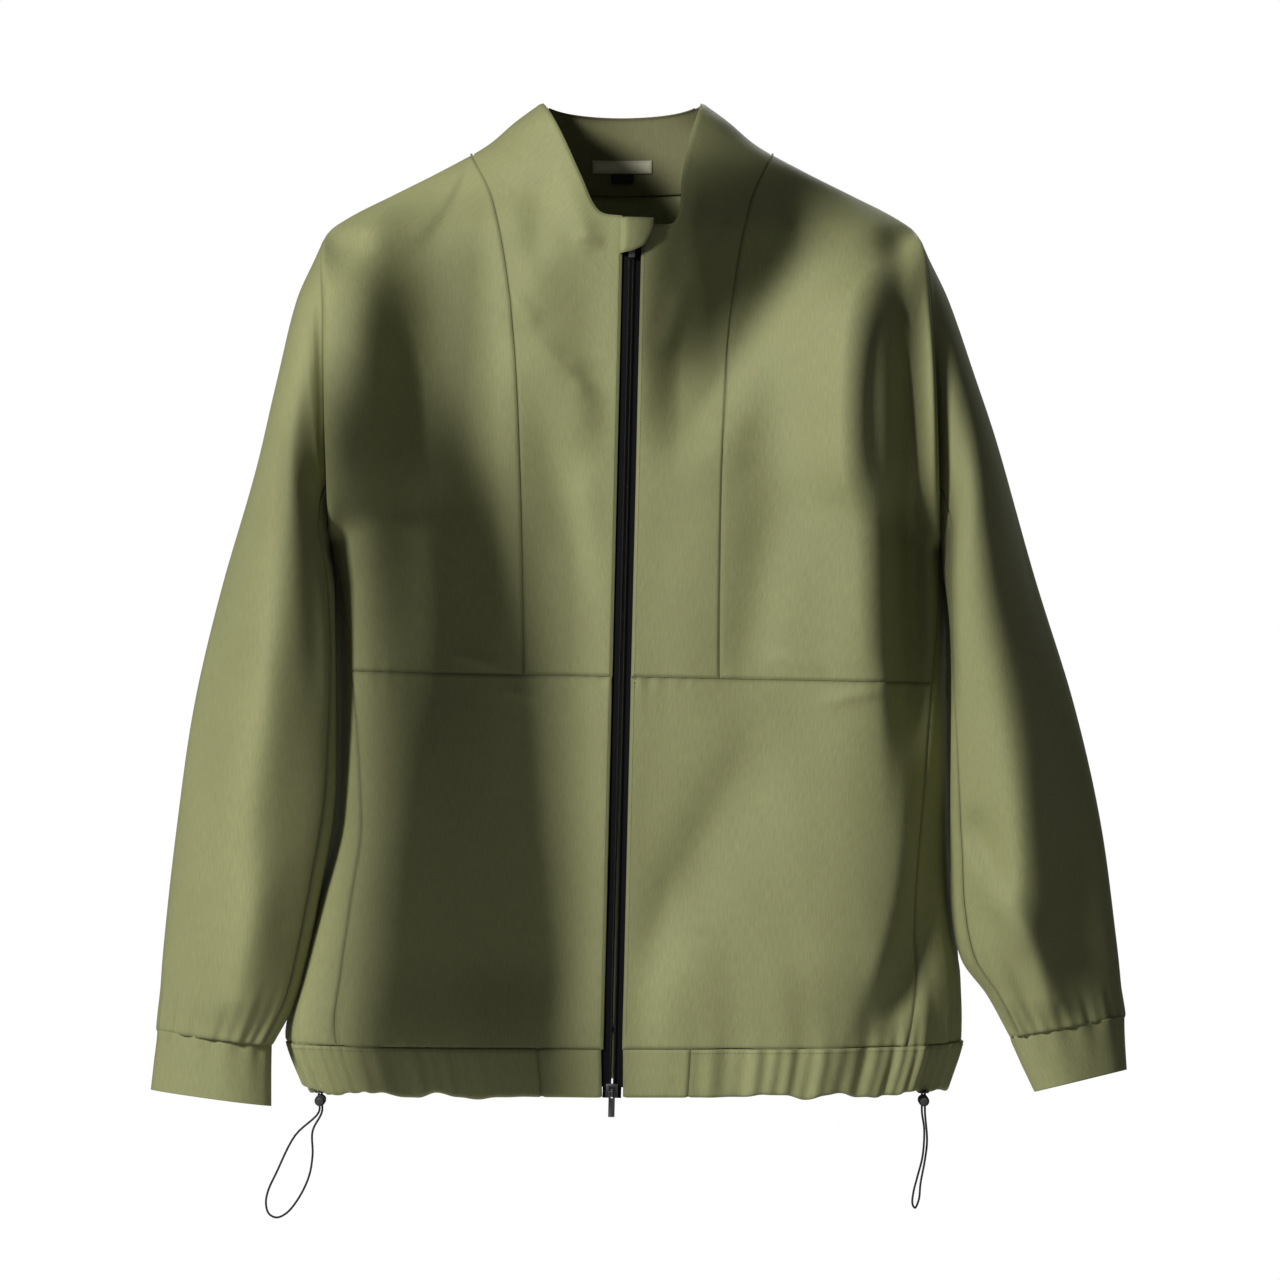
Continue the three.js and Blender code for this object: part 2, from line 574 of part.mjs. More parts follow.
const FRONT_SLEEVE_SEAM = 130;
const BACK_SLEEVE_SEAM = -120;
function sleeve(side) {
  const sign = side === 'left' ? 1 : -1;
  const gap = 0.4;
  const rings = sleeveRings(side);
  const top = tubeSheet(rings, BACK_SLEEVE_SEAM + gap, FRONT_SLEEVE_SEAM - gap, 13, CLOTH);
  const under = tubeSheet(rings, FRONT_SLEEVE_SEAM + gap, 360 + BACK_SLEEVE_SEAM - gap, 6, CLOTH);
  add(`${side}_top_sleeve`, top, OLIVE);
  add(`${side}_under_sleeve`, under, OLIVE);
  const cuff = cuffRings(side, sign);
  add(`${side}_cuff`, tubeSheet(cuff, 0, 360, 20, CLOTH), OLIVE);
  add(`${side}_cuff_elastic`, tubeSheet(cuff.slice(1), 0, 360, 20, 1, CLOTH + 0.4), BLACK_TAPE);
}
sleeve('right');
sleeve('left');

// ---- zip ----
// The zip lies along a straight line down the front. In its own group X is across it, -Y is out, and Z runs up
// from its bottom end, and the outer face of the cloth beside it is at Y = 0.
const zipLine = ZIP_TOP.clone().sub(ZIP_BOTTOM);
const ZIP_LENGTH = zipLine.length();
const zip = new THREE.Group();
const zipUp = zipLine.clone().normalize();
const zipAcross = new THREE.Vector3(1, 0, 0).projectOnPlane(zipUp).normalize();
zip.applyMatrix4(new THREE.Matrix4().makeBasis(zipAcross, zipUp.clone().cross(zipAcross), zipUp));
zip.position.copy(ZIP_BOTTOM);
jacket.add(zip);

const TAPE = { near: 0.6, far: 9.5, front: 2.5, back: 3.1 };
const COIL = { near: 0.6, far: 2.4, front: 0.5, back: 1.8 };
const PIN_HEIGHT = 8;
const STOP_HEIGHT = 3;

for (const [side, sign] of [['right', -1], ['left', 1]]) {
  const across = (a, b) => (sign > 0 ? [a, b] : [-b, -a]);
  const bar = ({ near, far, front, back }, low, high) => {
    const [x0, x1] = across(near, far);
    return block([x0, front, low], [x1, back, high]);
  };
  const shown = bar({ ...TAPE, far: ZIP_HALF }, 0, ZIP_LENGTH);
  add(`${side}_zip_tape`, joined(shown, bar(TAPE, PIN_HEIGHT, ZIP_LENGTH)), BLACK_TAPE, zip);
  add(`${side}_zip_pin`, bar(COIL, 0, PIN_HEIGHT), BLACK_METAL, zip);
  add(`${side}_zip_teeth`, bar(COIL, PIN_HEIGHT + 0.3, ZIP_LENGTH - STOP_HEIGHT - 0.3), BLACK_PLASTIC, zip);
  add(`${side}_zip_top_stop`, bar(COIL, ZIP_LENGTH - STOP_HEIGHT, ZIP_LENGTH), BLACK_METAL, zip);
}

// A slider: a front and a back plate joined by a web between the two rows of teeth, with a bridge for its pull.
const SLIDER = { half: 4.4, height: 9.5, plate: 1.2, web: 0.3 };
function slider(low, pullAbove) {
  const { half, height, plate, web } = SLIDER;
  const high = low + height;
  const front = block([-half, 0.1 - plate, low], [half, 0.1, high]);
  const back = block([-half, 3.4, low], [half, 3.4 + plate, high]);
  const middle = block([-web, -0.2, low + 1], [web, 3.6, high - 1]);
  const pivot = pullAbove ? high - 3 : low + 3;
  const post = (a, b) => block([-0.9, -3.3, a], [0.9, -1, b]);
  const bridge = block([-0.9, -4.2, pivot - 3], [0.9, -3.2, pivot + 3]);
  return joined(front, back, middle, post(pivot - 3, pivot - 1.9), post(pivot + 1.9, pivot + 3), bridge);
}

// A pull: a flat tag with an eye round the bridge, hanging down from the pivot.
function pull(pivot, length) {
  const tagPlate = block([-2.4, -2.9, pivot - length], [2.4, -1.7, pivot + 1.3]);
  const eye = block([-1.3, -4, pivot - 3.9], [1.3, 0, pivot + 0.4]);
  return cut(tagPlate, eye);
}

const UPPER_SLIDER_LOW = ZIP_LENGTH - 16;
const LOWER_SLIDER_LOW = 1;
add('upper_slider', slider(UPPER_SLIDER_LOW, false), BLACK_METAL, zip);
add('upper_pull', pull(UPPER_SLIDER_LOW + 3, 14), BLACK_METAL, zip);
add('lower_slider', slider(LOWER_SLIDER_LOW, false), BLACK_METAL, zip);
add('lower_pull', pull(LOWER_SLIDER_LOW + 3, 18), BLACK_METAL, zip);

// The garage is a flap sewn beside the top of the zip, on the wearer's right, that folds over the upper
// slider. Its section is given across the zip, and its free edge is cut on a curve.
const GARAGE = { below: 24, height: 27, thickness: 1.1, cutBack: 7, cutUp: 6 };
const GARAGE_SECTION = [[-10, -1.6], [-7.5, -2.6], [-5.6, -6.1], [2, -6.6], [10, -6.1], [16, -5.2]];
function garage() {
  const low = ZIP_LENGTH - GARAGE.below;
  const rows = spread(0, 1, 4).map((v) => GARAGE_SECTION.map(([x, y], i) => {
    const u = i / (GARAGE_SECTION.length - 1);
    const edge = x - GARAGE.cutBack * u * (1 - v) ** 2;
    return new THREE.Vector3(edge, y, low + GARAGE.height * v + GARAGE.cutUp * u * u * (1 - v));
  }));
  return sheet(rows, GARAGE.thickness, new THREE.Vector3(3, 40, low + GARAGE.height / 2 - 0.5));
}
add('zip_garage', garage(), OLIVE, zip);

// ---- cord loops, stoppers and eyelets ----
const STRAND = 1.15; // half the distance between the two strands of a loop
const STOPPER = { radius: 4.1, length: 14, wall: 0.95, travel: 2, top: HEM_BOTTOM - 1.6, height: 10 };

// The loops' routes below the stopper, as [x, y, z], hand laid; y is counted from the eyelet, back positive.
const LOOPS = {
  left: [[228.7, -1, -733.6], [227.4, -2.5, -753.5], [223.6, -4.5, -768], [220.4, -5.5, -780],
    [219.6, -3.5, -789], [222, 1, -793], [225, 4.5, -787], [226.2, 4, -775], [229.4, 2, -757], [231, 1, -742]],
  right: [[-234, 0, -735], [-234, 0, -752.8], [-236.6, 0, -768.8], [-244, 0, -784.9], [-253.6, 0, -797],
    [-261.2, -0.5, -800.4], [-267, -1, -797.5], [-269.2, -1.5, -789.5], [-267.6, -2, -780.3],
    [-261, -2, -765.8], [-247.1, -1, -738.2]],
};

const LOOP_START = { left: -1, right: 1 }; // the strand that a loop's route starts with

function cordLoop(side, sign) {
  const centre = eyeletCentre(sign);
  const strand = (k, z) => new THREE.Vector3(centre.x + k * STRAND, centre.y, z);
  const below = STOPPER.top - STOPPER.height - 4;
  const heights = [HEM_BOTTOM + CLOTH + 0.3, STOPPER.top + 0.5, STOPPER.top - 5, below];
  const loop = LOOPS[side].map(([x, y, z]) => new THREE.Vector3(x, centre.y + y, z));
  const path = new THREE.CatmullRomCurve3([
    ...heights.map((z) => strand(LOOP_START[side], z)),
    ...loop,
    ...heights.map((z) => strand(-LOOP_START[side], z)).reverse(),
  ], false, 'centripetal');
  add(`${side}_cord_loop`, cordAlong(path, CORD_DIAMETER, 48, 4), CORD);
}

// A cord lock: a barrel lying front to back, with the strands passing down through it, and a sprung plunger.
function cordLock(side, sign) {
  const { radius, length, wall, travel, top, height } = STOPPER;
  const z = top - height / 2;
  const halfHole = STRAND + CORD_DIAMETER / 2 + 0.35;
  const hole = block([-halfHole, -1.2, top - height - 1], [halfHole, 1.2, top + 1]);
  const outer = rod('y', radius, -length / 2, length / 2, [0, z], 20);
  const bore = rod('y', radius - wall, -length / 2 - 1, length / 2 - wall, [0, z], 20);
  add(`${side}_stopper_barrel`, atEyelet(cut(outer, bore, hole), sign), BLACK_PLASTIC);
  const shaft = rod('y', radius - wall - 0.3, -length / 2 - travel - 0.8, 2, [0, z], 16);
  const window = block([-halfHole, -1.2 - travel, z - 6], [halfHole, 1.2, z + 6]);
  add(`${side}_stopper_plunger`, atEyelet(cut(shaft, window), sign), BLACK_PLASTIC);
}

// The plunger's spring, at its pressed length, on the closed end of the barrel.
class Coil extends THREE.Curve {
  constructor(radius, rise, turns) {
    super();
    Object.assign(this, { radius, rise, turns });
  }

  getPoint(t) {
    const a = 2 * Math.PI * this.turns * t;
    return new THREE.Vector3(this.radius * Math.cos(a), this.rise * t, this.radius * Math.sin(a));
  }
}

for (const [side, sign] of [['right', -1], ['left', 1]]) {
  cordLoop(side, sign);
  cordLock(side, sign);
  const spring = cordAlong(new Coil(1.8, 0.8, 1.5), 0.5, 18, 3);
  spring.translate(0, STOPPER.length / 2 - STOPPER.wall - 1.3, STOPPER.top - STOPPER.height / 2);
  add(`${side}_stopper_spring`, atEyelet(spring, sign), STEEL);
  const ringTop = HEM_BOTTOM - SEAM_GAP;
  const ferrule = rod('z', 4.2, ringTop - 0.7, ringTop, [0, 0], 16);
  const opening = block([-3.1, -1.5, HEM_BOTTOM - 2], [3.1, 1.5, HEM_BOTTOM + 1]);
  add(`${side}_eyelet`, atEyelet(cut(ferrule, opening), sign), BLACK_METAL);
}

export default jacket;
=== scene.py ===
# %% [markdown]
# # A zip-front blouson jacket on its hanger
#
# The jacket is made of cut pieces of a light, dense woven cloth: two front neck pieces that run up into
# the collar, chest and skirt pieces, side panels, a back, two-piece sleeves, cuffs and a gathered hem.
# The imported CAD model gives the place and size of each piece. Here every piece becomes cloth: a surface
# of two parameters, worked out on a grid as whole numpy arrays, with its folds, seams, stitches and
# weave.

import bmesh
import bpy
import numpy as np
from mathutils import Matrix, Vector


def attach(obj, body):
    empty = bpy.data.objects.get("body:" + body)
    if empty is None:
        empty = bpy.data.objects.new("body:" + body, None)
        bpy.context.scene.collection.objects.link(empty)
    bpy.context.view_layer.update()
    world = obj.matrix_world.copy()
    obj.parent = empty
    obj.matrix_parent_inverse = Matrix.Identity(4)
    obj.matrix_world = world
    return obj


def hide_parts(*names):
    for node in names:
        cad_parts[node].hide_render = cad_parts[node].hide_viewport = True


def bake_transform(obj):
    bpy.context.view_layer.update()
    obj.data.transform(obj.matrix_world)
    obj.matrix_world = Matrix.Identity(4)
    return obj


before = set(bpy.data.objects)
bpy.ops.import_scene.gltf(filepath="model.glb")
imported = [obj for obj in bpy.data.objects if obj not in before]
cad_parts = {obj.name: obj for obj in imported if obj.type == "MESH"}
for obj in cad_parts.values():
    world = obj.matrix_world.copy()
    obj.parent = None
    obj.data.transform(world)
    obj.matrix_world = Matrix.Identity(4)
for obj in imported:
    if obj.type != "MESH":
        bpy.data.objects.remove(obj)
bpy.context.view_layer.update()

# %% [markdown]
# ## Camera
#
# The jacket is looked at straight on, from a few metres away, with a long lens, so that its sides stay parallel.
# The camera is made before everything else.

# %% Camera
def linked(name, data):
    """A new object in the scene that shows the given data."""
    obj = bpy.data.objects.new(name, data)
    bpy.context.collection.objects.link(obj)
    return obj


camera_data = bpy.data.cameras.new("camera")
camera_data.lens = 135
camera_data.sensor_width = 36
camera_data.clip_end = 50
camera = linked("camera", camera_data)
camera.location = (0.0138, -3.672, -0.3634)
camera.rotation_euler = (np.pi / 2, 0, 0)
bpy.context.scene.camera = camera
print("camera", list(camera.location))

# %% [markdown]
# ## Helpers for meshes
#
# All shapes are worked out in millimetres, in the CAD's frame, and turned into metres when the mesh is
# made. A grid of points becomes a mesh of four-sided faces; `foreach_set` puts whole arrays into it at
# once.

# %% Mesh helpers
MM = 0.001


def unit(v):
    """Vectors divided by their own length."""
    return v / np.maximum(np.linalg.norm(v, axis=-1, keepdims=True), 1e-9)


def grid_quads(rows, columns, closed=False):
    """The faces of a grid: each one joins four neighbours. A closed grid also joins its last column to
    its first."""
    i = np.arange(rows * columns).reshape(rows, columns)
    if closed:
        i = np.hstack([i, i[:, :1]])
    return np.stack([i[:-1, :-1], i[:-1, 1:], i[1:, 1:], i[1:, :-1]], -1).reshape(-1, 4)


def grid_normals(points, closed=False):
    """The cross product of the two directions of a grid, as unit vectors."""
    if closed:
        wide = np.concatenate([points[:, -1:], points, points[:, :1]], axis=1)
        along = np.gradient(wide, axis=1)[:, 1:-1]
    else:
        along = np.gradient(points, axis=1)
    return unit(np.cross(along, np.gradient(points, axis=0)))


def new_mesh(name, points, quads, uv=None, seam=None):
    """A smooth mesh object from points in millimetres and four-sided faces, with an optional UV map in metres and
    a seam attribute from 0 to 1, which says how much painted shade a point gets beside a seam."""
    mesh = bpy.data.meshes.new(name)
    points = np.ascontiguousarray(points.reshape(-1, 3) * MM, dtype=np.float32)
    quads = np.ascontiguousarray(quads, dtype=np.int32)
    mesh.vertices.add(len(points))
    mesh.vertices.foreach_set("co", points.ravel())
    mesh.loops.add(quads.size)
    mesh.loops.foreach_set("vertex_index", quads.ravel())
    mesh.polygons.add(len(quads))
    mesh.polygons.foreach_set("loop_start", np.arange(0, quads.size, 4, dtype=np.int32))
    mesh.update(calc_edges=True)
    mesh.polygons.foreach_set("use_smooth", np.ones(len(quads), bool))
    if uv is not None:
        layer = mesh.uv_layers.new(name="cloth")
        corners = uv.reshape(-1, 2)[quads.ravel()]
        layer.data.foreach_set("uv", np.ascontiguousarray(corners, np.float32).ravel())
    if seam is not None:
        # the seam attribute carries painted shade beside seams
        attribute = mesh.attributes.new("seam", "FLOAT", "POINT")
        attribute.data.foreach_set("value", np.ascontiguousarray(seam.ravel(), np.float32))
    return linked(name, mesh)


def cubic(s, first, last, leaving, arriving, span=1):
    """A cubic from first, at s = 0, to last, at 1, with its slopes at both ends."""
    start = (2 * s**3 - 3 * s**2 + 1) * first + (s**3 - 2 * s**2 + s) * span * leaving
    return start + (3 * s**2 - 2 * s**3) * last + (s**3 - s**2) * span * arriving


def curve(knots):
    """A smooth curve through (t, value) knots: cubic pieces whose slopes come from each knot's
    neighbours."""
    t, v = np.array(sorted(knots), float).T
    slope = np.gradient(v)
    slope[1:-1] = (v[2:] - v[:-2]) / (t[2:] - t[:-2])
    slope[[0, -1]] = (v[1] - v[0]) / (t[1] - t[0]), (v[-1] - v[-2]) / (t[-1] - t[-2])

    def at(x):
        x = np.clip(x, t[0], t[-1])
        i = np.clip(np.searchsorted(t, x) - 1, 0, len(t) - 2)
        span = t[i + 1] - t[i]
        return cubic((x - t[i]) / span, v[i], v[i + 1], slope[i], slope[i + 1], span)

    return at


def run_of(path):
    """The running length at each point of a path."""
    return np.concatenate([[0], np.cumsum(np.linalg.norm(np.diff(path, axis=0), axis=1))])


def belongs(obj, body_name, slot, *stands_for):
    """Says which body a piece moves with and which frame nodes it stands for. The slot, what it is made of, is not
    used.
    """
    if body_name:
        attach(obj, body_name)
    if stands_for:
        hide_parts(*stands_for)


def smoothstep(x, low, high):
    """0 below low, 1 above high, and an S-shaped rise between them."""
    t = np.clip((x - low) / (high - low), 0, 1)
    return t * t * (3 - 2 * t)


def signed(angle):
    """The same angle, from -180 to 180."""
    return np.where(angle > 180, angle - 360, angle)


def mix(a, b, t):
    """A blend of two values: a at 0 and b at 1."""
    return a + (b - a) * t


SIGN = {"left": 1, "right": -1}

# %% [markdown]
# ## Cords first
#
# A thin elastic drawcord comes out of an eyelet in the hem at each side, passes through a cord lock, hangs in a
# long loop and goes back in. It is a round cord with a braided cover, about 1.6 mm thick. The loop is one smooth
# path through listed points, and the cord is a round section carried along it. A curve object would do too, but a
# tube made here can carry a UV map for its braid.

# %% Cord paths and tubes
HEM_BOTTOM = -705.0
CORD = 1.6
CORD_TIP = 0.02  # the radius that a cord is closed with at each end
STRAND = 1.15  # half the distance between the two strands of a loop
STOPPER_TOP = HEM_BOTTOM - 1.6
STOPPER_HEIGHT = 10.0
EYELET = {"left": (228.2, -41.15), "right": (-228.1, -39.0)}
LOOP_START = {"left": -1, "right": 1}
LOOPS = {
    "left": [
        (228.7, -1, -733.6), (227.4, -2.5, -753.5), (223.6, -4.5, -768), (220.4, -5.5, -780),
        (219.6, -3.5, -789), (222, 1, -793), (225, 4.5, -787), (226.2, 4, -775), (229.4, 2, -757),
        (231, 1, -742),
    ],
    "right": [
        (-234, 0, -735), (-234, 0, -752.8), (-236.6, 0, -768.8), (-244, 0, -784.9), (-253.6, 0, -797),
        (-261.2, -0.5, -800.4), (-267, -1, -797.5), (-269.2, -1.5, -789.5), (-267.6, -2, -780.3),
        (-261, -2, -765.8), (-247.1, -1, -738.2),
    ],
}


def smooth_path(points, per_span):
    """A centripetal Catmull-Rom curve: each span is a cubic whose end slopes weigh the neighbours by the
    square root of their distance."""
    p = np.array(points, float)
    p = np.vstack([2 * p[0] - p[1], p, 2 * p[-1] - p[-2]])
    p0, p1, p2, p3 = p[:-3], p[1:-2], p[2:-1], p[3:]
    pairs = ((p0, p1), (p1, p2), (p2, p3))
    d0, d1, d2 = (np.sqrt(np.linalg.norm(b - a, axis=1))[:, None] for a, b in pairs)
    m1 = ((p1 - p0) / d0 - (p2 - p0) / (d0 + d1) + (p2 - p1) / d1) * d1
    m2 = ((p2 - p1) / d1 - (p3 - p1) / (d1 + d2) + (p3 - p2) / d2) * d1
    s = np.linspace(0, 1, per_span, endpoint=False)[None, :, None]
    p1, p2, m1, m2 = (a[:, None] for a in (p1, p2, m1, m2))
    return np.vstack([cubic(s, p1, p2, m1, m2).reshape(-1, 3), p[-2]])


def tube(name, path, radius, sides=10, side_axis=(0, 1, 0)):
    """A round section carried along a path, closed with a point at each end. Each ring stands square to
    the path, and its first spoke points as near to side_axis as it can."""
    tangent = unit(np.gradient(path, axis=0))
    across = unit(np.cross(tangent, np.array(side_axis, float)))
    up = np.cross(across, tangent)
    turn = np.linspace(0, 2 * np.pi, sides, endpoint=False)
    spokes = np.cos(turn)[None, :, None] * across[:, None] + np.sin(turn)[None, :, None] * up[:, None]
    size = np.full(len(path), float(radius))
    size[[0, -1]] = CORD_TIP
    points = path[:, None] + spokes * size[:, None, None]
    length = run_of(path)
    u = np.broadcast_to(turn * radius * MM, points.shape[:2])
    v = np.broadcast_to(length[:, None] * MM, points.shape[:2])
    quads = grid_quads(len(path), sides, closed=True)[:, ::-1]
    return new_mesh(name, points, quads, np.stack([u, v], -1)), length[-1]


def loop_path(side):
    """Down one strand from the eyelet, round the loop and up the other strand."""
    x, y = EYELET[side]
    start = LOOP_START[side]
    heights = [HEM_BOTTOM + 1.8, STOPPER_TOP + 0.5, STOPPER_TOP - 5, STOPPER_TOP - STOPPER_HEIGHT - 4]
    down = [(x + start * STRAND, y, z) for z in heights]
    loop = [(px, y + py, pz) for px, py, pz in LOOPS[side]]
    rise = [(x - start * STRAND, y, z) for z in heights[::-1]]
    return smooth_path(down + loop + rise, 6)


cords, cord_paths = {}, {}
for side in ("left", "right"):
    cord_paths[side] = loop_path(side)
    cords[side], length = tube(f"{side}_drawcord_loop", cord_paths[side], CORD / 2)
    belongs(cords[side], "jacket", "elastic_cord", f"{side}_cord_loop")
    print(side, "cord loop", round(length), "mm")

# %% [markdown]
# ## The body's surface
#
# The body is a stack of level rounded outlines. A point on it has an angle, 0 at the middle of the front
# and 90 at the wearer's left, and a height. The half widths, the depths and how square the outline is all
# change with the height, along smooth curves. The front is laid flatter than the frame's own, as dense
# cloth hangs.

# %% Body outlines
HEM_SEAM, WAIST_SEAM, ARMPIT, SHOULDER_TIP = -669.0, -391.0, -290.0, -54.5
COLLAR_TOP, PRINCESS_TOP = 47.5, 8.0
CHEST_TOP = PRINCESS_TOP - 0.3
RIDGE, SIDE_SEAM = 89.7, 114.0  # angles of the shoulder's ridge and of the side panel's back edge
EYELET_X = 231.0
ZIP_TOP = np.array([8.2, -76, -50])
ZIP_BOTTOM = np.array([-7.3, -92.4, HEM_BOTTOM])
ZIP_HALF = 7.0

ARMHOLE_DEPTH = 75.0

# knots of height and half width, depth or squareness
SHOULDER_LINE = [(47.5, 60.5), (32, 82), (14, 104), (-4.6, 138), (-23, 175), (-41, 210), (-54.5, 226)]
left_width = curve(SHOULDER_LINE + [
    (-120, 233), (-230, 238), (-290, 241), (-330, 243), (-524, 246), (-580, 250), (-620, 257), (-669, 256),
    (-705, 245),
])
right_width = curve(SHOULDER_LINE + [
    (-120, 224), (-230, 222), (-290, 221), (-330, 214), (-500, 214), (-560, 229), (-620, 246), (-650, 255),
    (-669, 256), (-705, 243),
])
back_depth = curve([(47.5, 60), (0, 64), (-60, 66), (-200, 74), (-400, 78), (-600, 86), (-705, 85)])
back_roundness = curve([
    (47.5, 2.0), (30, 1.95), (0, 1.6), (-30, 1.4), (-60, 1.7), (-150, 2.3), (-290, 2.6), (-340, 2.2),
    (-560, 2.2), (-640, 2.6), (-705, 2.6),
])
front_roundness = curve([
    (47.5, 2.0), (30, 1.95), (0, 1.6), (-30, 1.45), (-60, 1.9), (-150, 2.7), (-290, 3.2), (-560, 3.2),
    (-640, 3.0), (-705, 2.6),
])


def half_width(z, sign):
    return np.where(np.asarray(sign) < 0, right_width(z), left_width(z))


def front_depth(z):
    return np.where(z > -50, 76 - 0.12 * (z + 50), 76 + 0.025 * (-50 - z))


def body(angle, z):
    """A point of the body: x is the half width times the angle's sine, and the depth falls off as a
    rounded rectangle does. The armhole's own outline is added to the depth close to the sides."""
    s = np.sin(np.radians(angle))
    x = half_width(z, angle) * s
    front = np.abs(angle) <= 90
    m = np.where(front, front_roundness(z), back_roundness(z))
    flat = np.where(front, front_depth(z), back_depth(z))
    depth = flat * np.maximum(0, 1 - np.abs(s) ** m) ** (1 / m)
    t = np.clip((SHOULDER_TIP - z) / (SHOULDER_TIP - ARMPIT), 0, 1)
    reach = 4 + 40 * (1 - 4 * t * (1 - t)) ** 4
    arm = 2 * ARMHOLE_DEPTH * np.sqrt(t * (1 - t)) * np.abs(s) ** reach
    tilt = 0.02 * x * np.exp(-(((z - WAIST_SEAM) / 120) ** 2))
    return np.stack([x, np.where(front, -1, 1) * (depth + arm), z - tilt], -1)


def angle_at(x, z):
    """The angle at which the body is x millimetres from its middle, at height z."""
    return np.degrees(np.arcsin(np.clip(x / half_width(z, x), -1, 1)))


def princess_x(z):
    """The princess seam's distance from the middle. It opens out a little at its top, to meet the
    shoulder."""
    return 73 + 38 * np.exp((z - PRINCESS_TOP) / 90) + 4.3 * smoothstep(z, PRINCESS_TOP - 40, PRINCESS_TOP)


def zip_x(z):
    """The zip's distance from the middle: it runs a little aslant."""
    return mix(ZIP_BOTTOM[0], ZIP_TOP[0], (z - ZIP_BOTTOM[2]) / (ZIP_TOP[2] - ZIP_BOTTOM[2]))


pocket_angle = curve([(-290, 86), (-391, 75), (-530, 65), (-669, 57)])
neck_seam = curve([(0, -10), (60, -6), (104, PRINCESS_TOP - 0.3)])
print("front middle at the waist", body(0.0, WAIST_SEAM).round(1))

# %% [markdown]
# ## How the cloth folds
#
# Dense cloth hung from its shoulders falls in a few long soft folds, not in many small ones. A simulation gives
# folds, but not where this jacket has them. So each fold is listed: a straight or slightly bowed line in the front
# view, a height, and how far it falls away on each side. Their sum moves the cloth forwards or back.


# %% Folds listed one by one
def fold(x, z, start, end, height, left, right, bow=0.0):
    """One fold: a ridge (or, below 0, a hollow) along a bowed line, bell-shaped across it with its own
    width on each side, and fading at its two ends."""
    (x0, z0), (x1, z1) = start, end
    length = np.hypot(x1 - x0, z1 - z0)
    dx, dz = (x1 - x0) / length, (z1 - z0) / length
    s = ((x - x0) * dx + (z - z0) * dz) / length
    across = (z - z0) * dx - (x - x0) * dz - bow * 4 * s * (1 - s)
    width = np.where(across < 0, left, right)
    return height * np.exp(-((across / width) ** 2) - 1.6 * np.abs(2 * s - 1) ** 4)


FRONT_FOLDS = [
    # the wearer's right: a ridge by the sleeve, then a deep hollow down the chest
    ((-190, -10), (-192, -330), 13, 22, 20, 0),
    ((-136, 10), (-142, -460), -24, 36, 44, -8),
    ((-112, -250), (-76, -760), -24, 96, 74, 0),
    ((-100, -10), (-92, -470), 6, 14, 26, 8),
    # creases from the shoulder and by the neck
    ((-112, 6), (-150, -66), -6, 6, 16, 5),
    ((-50, -10), (-22, -76), 3.5, 10, 14, 4),
    ((-84, -20), (-54, -130), 3.5, 12, 18, 0),
    ((-74, -134), (-12, -212), 7, 26, 13, 5),
    ((-60, -200), (-20, -330), -4, 18, 18, 0),
    ((-30, -240), (-14, -330), 3, 12, 14, 0),
    # the wearer's left: the collar's hollow, the chest and its strong outer fold
    ((122, -30), (34, -220), -22, 74, 26, 10),
    ((46, -95), (28, -150), 4, 9, 9, 3),
    ((138, -40), (118, -290), -9, 26, 28, -14),
    ((188, -50), (194, -470), 21, 42, 15, 0),
    ((217, -50), (222, -430), -30, 15, 14, 0),
    ((110, -260), (92, -400), -6, 20, 20, 0),
    # the skirt on the wearer's left
    ((206, -430), (143, -695), 17, 84, 20, 24),
    ((236, -440), (176, -700), -11, 16, 18, 22),
    ((106, -430), (16, -600), -6, 20, 34, 0),
    ((60, -560), (30, -700), 6, 26, 34, 0),
    # small crisp creases: by the neck, beside the zip, across the princess seams and above the waist seam
    ((-34, -60), (-13, -68), 2.4, 4, 7, 1),
    ((-82, -104), (-64, -128), 2.8, 5, 8, 0),
    ((-58, -10), (-68, -84), -5, 17, 13, 0),
    ((-42, -154), (-8, -160), 1.9, 5, 6, 1),
    ((-38, -172), (-8, -184), 2.2, 5, 7, 1),
    ((60, -196), (98, -206), 1.8, 4, 6, 0),
    ((64, -216), (94, -230), 1.5, 4, 6, 0),
    ((112, -372), (150, -384), 1.8, 5, 6, 1),
    ((150, -408), (196, -398), 1.8, 5, 6, 1),
    ((-128, -376), (-92, -386), 1.6, 5, 6, 0),
    ((-90, -402), (-52, -412), 1.5, 5, 6, 0),
]
BACK_FOLDS = [
    ((0, -20), (0, -420), -5, 40, 40, 0),
    ((-120, -60), (-70, -420), 7, 34, 34, 8),
    ((118, -60), (80, -460), 7, 34, 34, -8),
    ((-190, -160), (-150, -560), 8, 22, 30, 0),
    ((190, -160), (150, -560), 8, 30, 22, 0),
    ((-60, -430), (-40, -690), -7, 30, 34, 0),
    ((40, -420), (60, -690), 8, 30, 34, 0),
    ((150, -430), (130, -690), -7, 28, 28, 0),
    ((-150, -430), (-130, -690), -7, 28, 28, 0),
    ((0, -35), (-130, -50), 3, 12, 16, 6),
    ((0, -35), (130, -50), 3, 16, 12, -6),
]


def laid(folds, x, z):
    """The sum of a list of folds."""
    return sum(fold(x, z, start, end, *rest) for start, end, *rest in folds)


def ripple(x, z):
    """The cloth's own slight unevenness: a sum of long low waves, a few tenths of a millimetre high."""
    bent = x + 14 * np.sin(0.013 * z + 0.5) + 9 * np.sin(0.031 * z)
    waves = [(0.083, 0.011, 0.4), (0.047, -0.023, 1.9), (0.031, 0.037, 3.1), (0.137, 0.017, 5.0)]
    return sum(0.16 * np.sin(kx * bent + kz * z + phase) for kx, kz, phase in waves)


